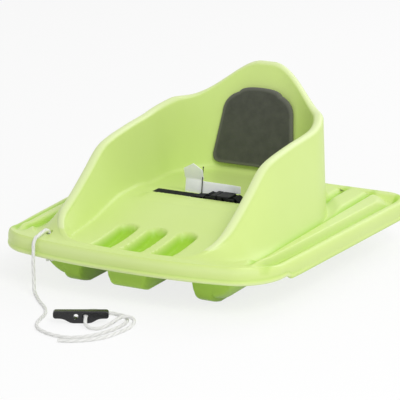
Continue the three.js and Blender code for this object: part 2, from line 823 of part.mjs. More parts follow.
function makePlug() {
  const length = plugLength - armLength;
  const body = plateSolid(
    length, socketWidth, buckleHeight, plugFace - length / 2, slotY, beltLow, buckleCorner / 2,
  );
  const reach = socketWidth / 2 - socketWall - slotFree - prongWidth / 2;
  const root = plugFace - prongWidth;
  const prong = prongLength + prongWidth;
  const middle = root + prong / 2;
  let solid = body.add(boxAt(prong, stemWidth, prongHeight, middle, slotY, buckleMiddle));
  for (const side of [-1, 1]) {
    solid = solid.add(boxAt(prong, prongWidth, prongHeight, middle, slotY + side * reach, buckleMiddle));
    const catchX = socketMouth + prongLength + slotFree - windowLength / 2;
    const catchLength = windowLength - 2 * slotFree;
    const catchY = slotY + side * (reach + slotFree);
    solid = solid.add(boxAt(catchLength, prongWidth, prongHeight, catchX, catchY, buckleMiddle));
  }
  return toGeometry(solid.add(loopFrame(plugFace - length, plugEnd)));
}

function makeStopBar(side) {
  const radius = stopBarDiameter / 2;
  const geometry = new THREE.CylinderGeometry(radius, radius, stopBarLength, roundSides);
  geometry.translate(stopBarX(side), slotY, stopBarZ);
  return geometry;
}

// The folded card's outline: its lower part as shares of half its width and of its height,
// then the pointed upper part
const cardLowerShares = [[-0.9, 0], [0.9, 0], [0.9, 1]];
const cardPeakShare = 0.12;
const cardBandShares = [[0, 0], [0.5, 0], [0.62, -0.02], [0.7, 0.1], [0.8, 0.34], [1, 0.42], [1, 1], [0, 1]];

function cardGeometry() {
  const half = cardWidth / 2;
  const shoulder = cardLowerHeight + cardUpperHeight - cardPeak;
  const points = cardLowerShares.map(([x, y]) => new THREE.Vector2(x * half, y * cardLowerHeight));
  points.push(new THREE.Vector2(half, shoulder));
  points.push(new THREE.Vector2(half * cardPeakShare, shoulder + cardPeak));
  points.push(new THREE.Vector2(-half, shoulder));
  const [lowX] = cardLowerShares[0];
  points.push(new THREE.Vector2(lowX * half, cardLowerHeight));
  return new THREE.ExtrudeGeometry(new THREE.Shape(points), { depth: cardThickness, bevelEnabled: false });
}

function cardBandGeometry() {
  const points = cardBandShares.map(([x, y]) => new THREE.Vector2(x * cardBandLength, y * cardBandHeight));
  return new THREE.ExtrudeGeometry(new THREE.Shape(points), { depth: cardThickness, bevelEnabled: false });
}

// The card's pieces share one place behind the belt, turned upright and leaned back
function makeCard() {
  const card = new THREE.Group();
  card.position.set(cardX, cardY, seatHeight);
  card.rotation.x = Math.PI / 2 - cardLean;
  card.add(namedMesh('blank_card', cardGeometry(), 'card'));
  const edge = cardLowerShares[1][0] * cardWidth / 2;
  const band = namedMesh('blank_card_band', cardBandGeometry(), 'card');
  band.position.set(edge + gap, cardThickness, 0);
  card.add(band);
  const radius = pinDiameter / 2;
  const rod = new THREE.CylinderGeometry(radius, radius, pinLength, roundSides / 2);
  const pin = namedMesh('card_pin', rod, 'web');
  pin.position.set(edge, pinLength / 2 + cardThickness, cardThickness + gap + radius);
  card.add(pin);
  return card;
}

// The tow rope's route in millimetres: up through its hole, over the lip, down to the ground,
// round to the handle, through it, and on to its loose end
const ropeRoute = [
  [-162, -240, 58], [-162, -239, 74], [-162, -238.5, 87.5], [-162.1, -239.5, 92.7], [-162.3, -242.5, 97],
  [-162.6, -246.8, 100], [-163, -252, 101], [-163.7, -262.5, 99], [-164.6, -273, 96.3],
  [-165, -278.1, 95.3], [-165.4, -282.4, 92.4], [-165.7, -285.3, 88.1], [-166, -286.3, 83],
  [-166, -287.3, 68], [-165.6, -288.8, 50], [-164, -291, 33], [-160, -297, 16], [-154.5, -305, 8],
  [-146, -314, 4.6], [-126, -336, 3.6], [-98, -364, 3.6], [-82, -390, 3.6], [-76, -414, 3.6],
  [-69, -437, 3.6], [-54, -458, 3.6], [-30, -471, 3.6], [-8, -476, 3.6], [14, -474, 3.6], [38, -454, 3.6],
  [54, -420, 3.6], [60, -386, 3.6], [56, -358, 3.6], [42, -340, 3.6], [22, -337, 4.2], [2, -344, 7],
  [-10, -356, 11], [-12.5, -369, 12.3], [-9.7, -378, 12.3], [-4.9, -387.3, 12.3], [-0.1, -396.6, 12.3],
  [4.5, -405, 10.8], [7, -410, 9.4], [12, -415.7, 6.9], [19, -418.4, 4.8], [26.7, -417.6, 3.8],
  [33.1, -413.3, 3.6], [38, -405, 4.1], [43, -394, 6.2], [46.3, -383, 9.2], [48, -373, 11],
  [49.9, -366, 11.6], [55, -360.9, 11.8], [62, -359, 11.4], [69, -360.9, 10], [74.1, -366, 8],
  [76, -373, 6], [76.3, -387, 3.9], [73, -415, 3.6], [65, -445, 3.6], [48, -469, 3.6], [25, -487, 3.6],
  [5, -495, 3.6],
];
const ropeSides = 8;
const ropeSteps = 78;

function ropeGeometry() {
  const points = ropeRoute.map(([x, y, z]) => new THREE.Vector3(x, y, z));
  const curve = new THREE.CatmullRomCurve3(points, false, 'centripetal');
  const corners = [];
  for (let i = 0; i < ropeSides; i += 1) {
    const turn = (i / ropeSides) * Math.PI * 2;
    corners.push(new THREE.Vector2(Math.cos(turn), Math.sin(turn)).multiplyScalar(ropeDiameter / 2));
  }
  return new THREE.ExtrudeGeometry(new THREE.Shape(corners), {
    steps: ropeSteps, bevelEnabled: false, extrudePath: curve,
  });
}

// The handle: straight along its top and deeper in the middle
const handleBellyShares = [0.82, 0.5, 0.22];

function handleShape() {
  const half = handleLength / 2;
  const round = handleEnd / 3;
  const endLow = handleDepth - handleEnd;
  const [outer, bend, inner] = handleBellyShares.map((share) => share * half);
  const shape = new THREE.Shape();
  shape.moveTo(-half, handleDepth - round);
  shape.lineTo(-half, endLow + round);
  shape.quadraticCurveTo(-half, endLow, -half + round, endLow);
  shape.lineTo(-outer, endLow);
  shape.bezierCurveTo(-bend, endLow, -bend, 0, -inner, 0);
  shape.lineTo(inner, 0);
  shape.bezierCurveTo(bend, 0, bend, endLow, outer, endLow);
  shape.lineTo(half - round, endLow);
  shape.quadraticCurveTo(half, endLow, half, endLow + round);
  shape.lineTo(half, handleDepth - round);
  shape.quadraticCurveTo(half, handleDepth, half - round, handleDepth);
  shape.lineTo(-half + round, handleDepth);
  shape.quadraticCurveTo(-half, handleDepth, -half, handleDepth - round);
  return shape;
}

function makeHandle() {
  const shape = handleShape();
  for (const side of [-1, 1]) {
    const hole = new THREE.Path();
    hole.absarc(side * handleHoleSide, handleHoleHeight, ropeDiameter / 2 + handleHoleFree, 0, Math.PI * 2);
    shape.holes.push(hole);
  }
  const geometry = new THREE.ExtrudeGeometry(shape, {
    depth: handleThick, bevelEnabled: false, curveSegments: turnSteps * 2,
  });
  geometry.translate(0, 0, -handleThick / 2);
  const mesh = namedMesh('tow_handle', geometry, 'hardware');
  mesh.rotation.set(Math.PI / 2, handleTurn, 0);
  mesh.position.set(handleX, handleY, gap);
  return mesh;
}

const knotShares = [[0, -1], [0.6, -0.9], [1, -0.35], [1, 0.35], [0.6, 0.9], [0, 1]];

function stopKnotGeometry() {
  const radius = stopKnotDiameter / 2;
  const half = stopKnotHeight / 2;
  const profile = knotShares.map(([x, y]) => new THREE.Vector2(x * radius, y * half));
  const geometry = new THREE.LatheGeometry(profile, roundSides);
  geometry.rotateX(Math.PI / 2);
  geometry.translate(ropeHoleX, ropeHoleY, bellyHeight - gap - half);
  return geometry;
}

function namedMesh(name, geometry, finish) {
  const mesh = new THREE.Mesh(geometry, new THREE.MeshStandardMaterial(finishes[finish]));
  mesh.name = name;
  return mesh;
}

const sled = new THREE.Group();
sled.add(namedMesh('shell', makeShell(), 'shell'));
sled.add(makePad());
const plugBarX = plugEnd + loopBarDiameter / 2;
const socketBarX = socketEnd - loopBarDiameter / 2;
sled.add(namedMesh('belt_strap_right', strapGeometry(-1, plugBarX, longTail), 'web'));
sled.add(namedMesh('belt_strap_left', strapGeometry(1, socketBarX, shortTail), 'web'));
sled.add(namedMesh('buckle_socket', makeSocket(), 'hardware'));
sled.add(namedMesh('buckle_plug', makePlug(), 'hardware'));
sled.add(namedMesh('belt_stop_bar_right', makeStopBar(-1), 'hardware'));
sled.add(namedMesh('belt_stop_bar_left', makeStopBar(1), 'hardware'));
sled.add(makeCard());
sled.add(namedMesh('tow_rope', ropeGeometry(), 'rope'));
sled.add(namedMesh('rope_stop_knot', stopKnotGeometry(), 'rope'));
sled.add(makeHandle());

export default sled;
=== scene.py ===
"""Baby pull sled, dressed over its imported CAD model.

Sizes are written in millimetres, as in the part's source, and meshes are made in metres.
+Y points to the sled's rear, +X to the left of a child sitting in it and +Z up, and the
origin is on the ground under the middle of the sled.
"""
import logging
import math
from collections.abc import Callable, Iterable, Sequence
from dataclasses import astuple, dataclass
from enum import Enum

import bmesh
import bpy
import numpy as np
from bpy.types import Material, Node, NodeSocket, NodeTree, Object
from mathutils import Matrix, Vector
from mathutils.bvhtree import BVHTree


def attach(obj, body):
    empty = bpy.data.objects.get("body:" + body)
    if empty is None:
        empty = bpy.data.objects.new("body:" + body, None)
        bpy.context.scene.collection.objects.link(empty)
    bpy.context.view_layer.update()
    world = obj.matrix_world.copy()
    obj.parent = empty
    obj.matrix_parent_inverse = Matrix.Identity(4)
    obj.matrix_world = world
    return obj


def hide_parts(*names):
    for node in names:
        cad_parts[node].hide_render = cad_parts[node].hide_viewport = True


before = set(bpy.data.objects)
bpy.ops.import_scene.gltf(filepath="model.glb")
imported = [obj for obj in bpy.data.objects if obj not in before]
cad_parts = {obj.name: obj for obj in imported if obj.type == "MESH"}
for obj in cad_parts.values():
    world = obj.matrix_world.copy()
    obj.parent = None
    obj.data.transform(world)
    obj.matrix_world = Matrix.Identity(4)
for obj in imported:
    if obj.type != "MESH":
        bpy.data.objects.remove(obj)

LOG = logging.getLogger("baby_pull_sled")
MM = 0.001
BODY = "root"
GAP = 0.3
SEAT_HEIGHT = 116.0
SLOT_X = 93.0
SLOT_Y = 10.0
SLOT_WIDTH = 5.0
WEB_WIDTH = 25.0
WEB_THICKNESS = 1.6
SEAT_WALL = 2.6
Array = np.ndarray
Share = tuple[float, float]
Place = tuple[float, float, float]
Surface = Callable[[Array, Array], Array | float]


class Slot(Enum):
    """The record's material slots."""

    SHELL = "shell_plastic"
    FOAM = "foam"
    WEB = "webbing"
    HARDWARE = "black_plastic"
    CARD = "card"
    ROPE = "rope"


def smooth_step(low: float, high: float, value: Array | float) -> Array:
    """A soft step from 0 at low to 1 at high."""
    t = np.clip((np.asarray(value, float) - low) / (high - low), 0.0, 1.0)
    return t * t * (3 - 2 * t)


def step_near(base: Array | float, between: Share, value: Array | float) -> Array:
    """A soft step from 0 to 1 between two distances from a base."""
    return smooth_step(base + between[0], base + between[1], value)


def bell(value: Array, middle: float, spread: float) -> Array:
    """1 at a middle, falling to 0 on both sides."""
    return np.exp(-(((value - middle) / spread) ** 2))


def blend(a: Array | float, b: Array | float, t: Array | float) -> Array | float:
    """The place between a and b at share t."""
    return a + (b - a) * t


def share_curve(pairs: Sequence[Share], t: Array | float) -> Array:
    """Reads a smooth curve through pairs of shares.

    Args:
        pairs: Places and values, in rising order of place.
        t: Where to read the curve.

    Returns:
        The values at t, held at both ends.
    """
    table = np.array(pairs, float)
    x, y = table[:, 0], table[:, 1]
    count = len(x)
    before = np.clip(np.arange(count) - 1, 0, count - 1)
    after = np.clip(np.arange(count) + 1, 0, count - 1)
    slope = (y[after] - y[before]) / (x[after] - x[before])
    t = np.clip(np.asarray(t, float), x[0], x[-1])
    i = np.clip(np.searchsorted(x, t, side="right") - 1, 0, count - 2)
    h = x[i + 1] - x[i]
    u = (t - x[i]) / h
    return ((2 * u**3 - 3 * u**2 + 1) * y[i] + (u**3 - 2 * u**2 + u) * slope[i] * h
            + (3 * u**2 - 2 * u**3) * y[i + 1] + (u**3 - u**2) * slope[i + 1] * h)


def centripetal_path(points: Sequence[Sequence[float]], steps: int) -> Array:
    """Samples the centripetal Catmull-Rom curve that the part's source uses for its rope.

    Args:
        points: The route's points.
        steps: Samples in each stretch between two points.

    Returns:
        The sampled points, one row each.
    """
    p = np.array(points, float)
    p = np.vstack([2 * p[0] - p[1], p, 2 * p[-1] - p[-2]])
    rows = []
    for k in range(1, len(p) - 2):
        p0, p1, p2, p3 = p[k - 1:k + 3]
        pairs = ((p0, p1), (p1, p2), (p2, p3))
        d0, d1, d2 = (max(float(((b - a) ** 2).sum()) ** 0.25, 1e-6) for a, b in pairs)
        t1 = ((p1 - p0) / d0 - (p2 - p0) / (d0 + d1) + (p2 - p1) / d1) * d1
        t2 = ((p2 - p1) / d1 - (p3 - p1) / (d1 + d2) + (p3 - p2) / d2) * d1
        square, cube = -3 * p1 + 3 * p2 - 2 * t1 - t2, 2 * p1 - 2 * p2 + t1 + t2
        for t in np.arange(steps) / steps:
            rows.append(p1 + t1 * t + square * t**2 + cube * t**3)
    rows.append(p[-2])
    return np.array(rows)


def linear(colour: str) -> tuple[float, float, float, float]:
    """A web colour as Blender's linear RGBA."""
    values = [int(colour[i:i + 2], 16) / 255 for i in (1, 3, 5)]
    return (*(v / 12.92 if v <= 0.04045 else ((v + 0.055) / 1.055) ** 2.4 for v in values), 1.0)


def link_object(name: str, data: bpy.types.ID) -> Object:
    """Makes an object from its data and links it into the scene."""
    obj = bpy.data.objects.new(name, data)
    bpy.context.scene.collection.objects.link(obj)
    return obj


def mesh_object(name: str, points: Array, faces: Iterable[Sequence[int]],
                edges: Iterable[Sequence[int]] = ()) -> Object:
    """Makes an object at the origin from points in millimetres.

    Args:
        name: The object's name.
        points: One row for each vertex, in millimetres.
        faces: Vertex indices of each face.
        edges: Vertex indices of loose edges, for a path.

    Returns:
        The object, linked into the scene.
    """
    mesh = bpy.data.meshes.new(name)
    places = (np.asarray(points, float) * MM).tolist()
    mesh.from_pydata(places, [tuple(e) for e in edges], [tuple(f) for f in faces])
    mesh.update()
    return link_object(name, mesh)


def loft(rows: Sequence[Array], first: Array | None = None, last: Array | None = None,
         closed: bool = True) -> tuple[Array, list[tuple[int, ...]]]:
    """Joins rows of points with faces.

    Args:
        rows: Rows with the same number of points.
        first: The point that closes the first row, or None to close it with one flat face.
        last: The point that closes the last row, or None as for first.
        closed: Whether each row is a loop.

    Returns:
        The points and the faces.
    """
    count = len(rows[0])
    points = np.vstack(rows)
    faces: list[tuple[int, ...]] = []
    for r in range(len(rows) - 1):
        for i in range(count if closed else count - 1):
            j = (i + 1) % count
            faces.append((r * count + i, (r + 1) * count + i, (r + 1) * count + j, r * count + j))
    for end, row in ((first, 0), (last, len(rows) - 1)):
        loop = [row * count + i for i in range(count)]
        if end is None:
            faces.append(tuple(loop if row == 0 else loop[::-1]))
            continue
        points = np.vstack([points, end])
        pole = len(points) - 1
        for i in range(count):
            pair = (loop[i], loop[(i + 1) % count])
            faces.append((pole, *pair) if row == 0 else (pole, *pair[::-1]))
    return points, faces


def recalculate_normals(obj: Object, merge: float = 0.0) -> None:
    """Merges doubles where asked and turns every face outwards."""
    work = bmesh.new()
    work.from_mesh(obj.data)
    if merge > 0:
        bmesh.ops.remove_doubles(work, verts=work.verts, dist=merge)
    bmesh.ops.recalc_face_normals(work, faces=work.faces)
    work.to_mesh(obj.data)
    work.free()
    obj.data.update()


def closed_mesh(name: str, points: Array, faces: Iterable[Sequence[int]]) -> Object:
    """Makes a closed body from points in millimetres, its faces turned outwards."""
    obj = mesh_object(name, points, faces)
    recalculate_normals(obj)
    return obj


def rod(name: str, ends: Sequence[Sequence[float]], radius: float, sides: int,
        across: tuple[int, int]) -> Object:
    """Makes a closed round bar between two places, its section in the plane of two axes."""
    turns = np.linspace(0, 2 * np.pi, sides, endpoint=False)
    rows = []
    for end in ends:
        row = np.tile(np.array(end, float), (sides, 1))
        row[:, across[0]] += radius * np.cos(turns)
        row[:, across[1]] += radius * np.sin(turns)
        rows.append(row)
    return closed_mesh(name, *loft(rows))


def smooth_shade(obj: Object, sharp_degrees: float = 40.0) -> None:
    """Shades a mesh smooth, apart from edges sharper than an angle."""
    obj.data.shade_smooth()
    obj.data.set_sharp_from_angle(angle=math.radians(sharp_degrees))


def bake_modifiers(obj: Object) -> None:
    """Turns an object's evaluated shape into its plain mesh and removes its modifiers."""
    graph = bpy.context.evaluated_depsgraph_get()
    graph.update()
    mesh = bpy.data.meshes.new_from_object(obj.evaluated_get(graph), preserve_all_data_layers=True,
                                           depsgraph=graph)
    obj.modifiers.clear()
    obj.data = mesh
    mesh.name = obj.name


def boolean(obj: Object, other: Object, operation: str) -> None:
    """Joins or cuts obj with a closed body, which is then deleted."""
    modifier = obj.modifiers.new(operation.lower(), "BOOLEAN")
    modifier.operation = operation
    modifier.solver = "MANIFOLD"
    modifier.object = other
    bake_modifiers(obj)
    bpy.data.objects.remove(other)


def join_objects(name: str, objects: Sequence[Object]) -> Object:
    """Joins objects that stand at the origin into one new object."""
    work = bmesh.new()
    for obj in objects:
        work.from_mesh(obj.data)
        bpy.data.objects.remove(obj)
    mesh = bpy.data.meshes.new(name)
    work.to_mesh(mesh)
    work.free()
    return link_object(name, mesh)


def plate(name: str, outlines: Sequence[Sequence[Share]], thickness: float, bevel: float,
          place: Matrix, steps: int = 4) -> Object:
    """Makes a plate with rounded edges from outlines, the first one outside and the rest holes.

    Args:
        name: The object's name.
        outlines: Loops of points in millimetres in the plate's own plane.
        thickness: The plate's thickness in millimetres.
        bevel: Radius of its rounded edges in millimetres.
        place: Where the plate's middle plane stands, in metres.
        steps: Steps of each rounded edge.

    Returns:
        The plate as an object at the origin with its place in its mesh.
    """
    curve = bpy.data.curves.new(name, "CURVE")
    curve.dimensions = "2D"
    curve.fill_mode = "BOTH"
    curve.extrude = (thickness / 2 - bevel) * MM
    curve.bevel_depth = bevel * MM
    curve.bevel_resolution = steps
    curve.offset = -bevel * MM
    for outline in outlines:
        spline = curve.splines.new("POLY")
        spline.points.add(len(outline) - 1)
        for point, (x, y) in zip(spline.points, outline):
            point.co = (x * MM, y * MM, 0.0, 1.0)
        spline.use_cyclic_u = True
    shape = link_object(name, curve)
    graph = bpy.context.evaluated_depsgraph_get()
    mesh = bpy.data.meshes.new_from_object(shape.evaluated_get(graph))
    bpy.data.objects.remove(shape)
    mesh.transform(place)
    mesh.name = name
    obj = link_object(name, mesh)
    recalculate_normals(obj, merge=1e-6)
    smooth_shade(obj)
    return obj


def rounded_rectangle(length: float, width: float, corner: float, x: float = 0.0, y: float = 0.0,
                      steps: int = 6) -> list[Share]:
    """The outline of a rectangle with round corners, about a middle."""
    outline: list[Share] = []
    for quarter, (sx, sy) in enumerate(((1, 1), (-1, 1), (-1, -1), (1, -1))):
        for i in range(steps + 1):
            turn = (quarter + i / steps) * math.pi / 2
            outline.append((x + sx * (length / 2 - corner) + corner * math.cos(turn),
                            y + sy * (width / 2 - corner) + corner * math.sin(turn)))
    return outline


def point_attribute(obj: Object, name: str, values: Sequence[float]) -> None:
    """Stores one number for each vertex."""
    layer = obj.data.attributes.new(name, "FLOAT", "POINT")
    layer.data.foreach_set("value", np.asarray(values, np.float32))


def dress(obj: Object, material: Material, slot: Slot, *nodes: str) -> Object:
    """Gives a finished piece its material and its body, and hides the CAD nodes that it stands for."""
    obj.data.materials.clear()
    obj.data.materials.append(material)
    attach(obj, BODY)
    if nodes:
        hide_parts(*nodes)
    LOG.info("%s: %d faces", obj.name, len(obj.data.polygons))
    return obj


class Graph:
    """A node tree being built, with short calls for its nodes and links."""

    def __init__(self, tree: NodeTree) -> None:
        """Keeps the tree."""
        self.tree = tree

    def feed(self, socket: NodeSocket, value: object) -> None:
        """Links a socket into another, or sets its own value."""
        if isinstance(value, NodeSocket):
            self.tree.links.new(value, socket)
        else:
            socket.default_value = value

    def node(self, kind: str, inputs: dict[str | int, object] | None = None, **settings: object) -> Node:
        """Adds a node.

        Args:
            kind: The node's type.
            inputs: Values or sockets for its inputs, by name or number.
            settings: Its properties.

        Returns:
            The node.
        """
        made = self.tree.nodes.new(kind)
        for name, value in settings.items():
            setattr(made, name, value)
        for name, value in (inputs or {}).items():
            self.feed(made.inputs[name], value)
        return made

    def maths(self, operation: str, *values: object) -> NodeSocket:
        """A sum of numbers or sockets."""
        return self.node("ShaderNodeMath", dict(enumerate(values)), operation=operation).outputs[0]

    def times(self, a: object, b: object) -> NodeSocket:
        """The product of two numbers or sockets."""
        return self.maths("MULTIPLY", a, b)

    def attribute(self, name: str) -> NodeSocket:
        """A number stored with the mesh."""
        return self.node("ShaderNodeAttribute", attribute_name=name).outputs["Fac"]

    def show(self, kind: str, shader: Node) -> None:
        """Feeds a shader to the output of its material or world."""
        self.feed(self.node(kind).inputs["Surface"], shader.outputs[0])

    def noise(self, vector: object, scale: object, detail: float, roughness: float) -> NodeSocket:
        """Noise between 0 and 1."""
        inputs = {"Vector": vector, "Scale": scale, "Detail": detail, "Roughness": roughness}
        return self.node("ShaderNodeTexNoise", inputs).outputs[0]

    def mix(self, share: object, a: object, b: object) -> NodeSocket:
        """The colour between a and b."""
        made = self.node("ShaderNodeMix", data_type="RGBA")
        self.feed(made.inputs["Factor"], share)
        self.feed(made.inputs[6], a)
        self.feed(made.inputs[7], b)
        return made.outputs[2]

    def spread(self, value: object, low: float, high: float, out_low: float = 0.0,
               out_high: float = 1.0) -> NodeSocket:
        """A number moved from one range to another, held at its ends."""
        inputs = {"Value": value, "From Min": low, "From Max": high, "To Min": out_low, "To Max": out_high}
        return self.node("ShaderNodeMapRange", inputs).outputs[0]


def fresh_graph(owner: Material | bpy.types.World) -> Graph:
    """Turns on the nodes of a material or a world and clears them."""
    owner.use_nodes = True
    owner.node_tree.nodes.clear()
    return Graph(owner.node_tree)


def add_inputs(tree: NodeTree, inputs: Sequence[tuple[str, str, object]]) -> dict[str, str]:
    """Adds a group's inputs from name, socket type and first value, and returns their identifiers."""
    identifiers: dict[str, str] = {}
    for label, kind, value in inputs:
        socket = tree.interface.new_socket(name=label, in_out="INPUT", socket_type=kind)
        if value is not None:
            socket.default_value = value
        identifiers[label] = socket.identifier
    return identifiers


def shader_group(name: str, inputs: Sequence[tuple[str, str, object]],
                 outputs: Sequence[tuple[str, str]]) -> tuple[Graph, dict[str, NodeSocket], Node]:
    """Starts a shader node group.

    Args:
        name: The group's name.
        inputs: Name, socket type and first value of each input.
        outputs: Name and socket type of each output.

    Returns:
        The graph, its inputs as sockets, and its output node.
    """
    tree = bpy.data.node_groups.new(name, "ShaderNodeTree")
    add_inputs(tree, inputs)
    for label, kind in outputs:
        tree.interface.new_socket(name=label, in_out="OUTPUT", socket_type=kind)
    graph = Graph(tree)
    entry = tree.nodes.new("NodeGroupInput")
    return graph, {s.name: s for s in entry.outputs if s.name}, tree.nodes.new("NodeGroupOutput")


FLOAT_SOCKET = "NodeSocketFloat"
VECTOR_SOCKET = "NodeSocketVector"
COLOUR_SOCKET = "NodeSocketColor"
WHITE = (1, 1, 1, 1)
SCRATCH_SCALE = (900.0, 22.0, 300.0)
Sockets = dict[str, NodeSocket]
Surfaced = tuple[NodeSocket, NodeSocket, NodeSocket]


class SurfaceGroups:
    """The effects that several materials share, each built once."""

    def __init__(self) -> None:
        """Builds every group."""
        self.grain = self._grain()
        self.drift = self._drift()
        self.wear = self._wear()
        self.weave = self._weave()

    def _grain(self) -> NodeTree:
        """Fine moulded grain over slow waviness, as a height and a mask."""
        graph, inputs, out = shader_group(
            "Moulded grain",
            [("Vector", VECTOR_SOCKET, None), ("Fine scale", FLOAT_SOCKET, 900.0),
             ("Slow scale", FLOAT_SOCKET, 22.0), ("Slow share", FLOAT_SOCKET, 0.5)],
            [("Height", FLOAT_SOCKET), ("Mask", FLOAT_SOCKET)])
        fine = graph.noise(inputs["Vector"], inputs["Fine scale"], detail=3.0, roughness=0.6)
        slow = graph.noise(inputs["Vector"], inputs["Slow scale"], detail=2.0, roughness=0.45)
        height = graph.maths("ADD", fine, graph.times(slow, inputs["Slow share"]))
        graph.feed(out.inputs["Height"], height)
        graph.feed(out.inputs["Mask"], graph.spread(fine, 0.3, 0.7))
        return graph.tree

    def _drift(self) -> NodeTree:
        """A colour that drifts a little between two tints over the surface."""
        graph, inputs, out = shader_group(
            "Colour drift",
            [("Vector", VECTOR_SOCKET, None), ("Scale", FLOAT_SOCKET, 6.0),
             ("First", COLOUR_SOCKET, WHITE), ("Second", COLOUR_SOCKET, WHITE)],
            [("Color", COLOUR_SOCKET)])
        noise = graph.noise(inputs["Vector"], inputs["Scale"], detail=4.0, roughness=0.5)
        share = graph.spread(noise, 0.35, 0.65)
        graph.feed(out.inputs["Color"], graph.mix(share, inputs["First"], inputs["Second"]))
        return graph.tree

    def _wear(self) -> NodeTree:
        """Scratches that run along the sled, where it slides on the ground."""
        graph, inputs, out = shader_group(
            "Sliding wear",
            [("Vector", VECTOR_SOCKET, None), ("Height limit", FLOAT_SOCKET, 0.006)],
            [("Mask", FLOAT_SOCKET)])
        parts = graph.node("ShaderNodeSeparateXYZ", {0: inputs["Vector"]}).outputs
        height = graph.maths("DIVIDE", parts["Z"], inputs["Height limit"])
        low = graph.maths("SUBTRACT", 1.0, graph.spread(height, 0.3, 1.0))
        stretched = graph.node("ShaderNodeVectorMath", {0: inputs["Vector"], 1: SCRATCH_SCALE},
                               operation="MULTIPLY").outputs[0]
        lines = graph.noise(stretched, 1.0, detail=3.0, roughness=0.5)
        graph.feed(out.inputs["Mask"], graph.times(low, graph.spread(lines, 0.48, 0.62, 0.15, 1.0)))
        return graph.tree

    def _weave(self) -> NodeTree:
        """A webbing's weave from the distances along and across the strap, in metres."""
        graph, inputs, out = shader_group(
            "Webbing weave",
            [("Along", FLOAT_SOCKET, 0.0), ("Across", FLOAT_SOCKET, 0.0), ("Rib", FLOAT_SOCKET, 0.0016),
             ("Thread", FLOAT_SOCKET, 0.0011)],
            [("Height", FLOAT_SOCKET), ("Mask", FLOAT_SOCKET)])
        turn = graph.times(graph.maths("DIVIDE", inputs["Across"], inputs["Rib"]), math.pi)
        rib = graph.maths("ABSOLUTE", graph.maths("SINE", turn))
        row = graph.maths("FLOOR", graph.maths("DIVIDE", inputs["Across"], inputs["Rib"]))
        step = graph.maths("ADD", graph.maths("DIVIDE", inputs["Along"], inputs["Thread"]),
                           graph.times(row, 0.5))
        thread = graph.maths("ABSOLUTE", graph.maths("SINE", graph.times(step, math.pi)))
        rib_share, thread_share = 0.45, 0.55
        height = graph.times(rib, graph.maths("ADD", rib_share, graph.times(thread, thread_share)))
        graph.feed(out.inputs["Height"], height)
        graph.feed(out.inputs["Mask"], graph.spread(height, 0.1, 0.8))
        return graph.tree


@dataclass(frozen=True)
class Finish:
    """What every finish has: a name, two close tints, a roughness and a grain."""

    name: str
    tint: str
    second_tint: str
    roughness: float
    drift_scale: float = 6.0
    fine_scale: float = 900.0
    slow_scale: float = 22.0
    slow_share: float = 0.5
    bump: float = 0.05
    bump_depth: float = 0.0004
    specular: float = 0.5
    sheen: float = 0.0
    rough_spread: Share = (0.04, 0.05)

    def start(self, groups: SurfaceGroups) -> tuple[Graph, Material, Node, Sockets]:
        """Starts the material: object coordinates, drifting colour and grain.

        Args:
            groups: The shared shader groups.

        Returns:
            The graph, the material, its shader, and sockets named vector, colour, height and mask.
        """
        material = bpy.data.materials.new(self.name)
        graph = fresh_graph(material)
        vector = graph.node("ShaderNodeTexCoord").outputs["Object"]
        drift = graph.node("ShaderNodeGroup", {
            "Vector": vector, "Scale": self.drift_scale, "First": linear(self.tint),
            "Second": linear(self.second_tint)}, node_tree=groups.drift)
        grain = graph.node("ShaderNodeGroup", {
            "Vector": vector, "Fine scale": self.fine_scale, "Slow scale": self.slow_scale,
            "Slow share": self.slow_share}, node_tree=groups.grain)
        shader = graph.node("ShaderNodeBsdfPrincipled", {
            "Metallic": 0.0, "Specular IOR Level": self.specular, "Sheen Weight": self.sheen})
        graph.show("ShaderNodeOutputMaterial", shader)
        return graph, material, shader, {
            "vector": vector, "colour": drift.outputs["Color"], "height": grain.outputs["Height"],
            "mask": grain.outputs["Mask"]}

    def surface(self, graph: Graph, groups: SurfaceGroups, shader: Node, made: Sockets) -> Surfaced:
        """The colour, the height and the mask that the shader is fed; each kind of finish has its own."""
        return made["colour"], made["height"], made["mask"]

    def build(self, groups: SurfaceGroups) -> Material:
        """Makes the material and feeds its shader the colour, the roughness and the bump."""
        graph, material, shader, made = self.start(groups)
        colour, height, mask = self.surface(graph, groups, shader, made)
        graph.feed(shader.inputs["Base Color"], colour)
        less, more = self.rough_spread
        rough = graph.spread(mask, 0.0, 1.0, self.roughness - less, self.roughness + more)
        graph.feed(shader.inputs["Roughness"], rough)
        bump = graph.node("ShaderNodeBump", {
            "Strength": self.bump, "Distance": self.bump_depth, "Height": height})
        graph.feed(shader.inputs["Normal"], bump.outputs[0])
        return material


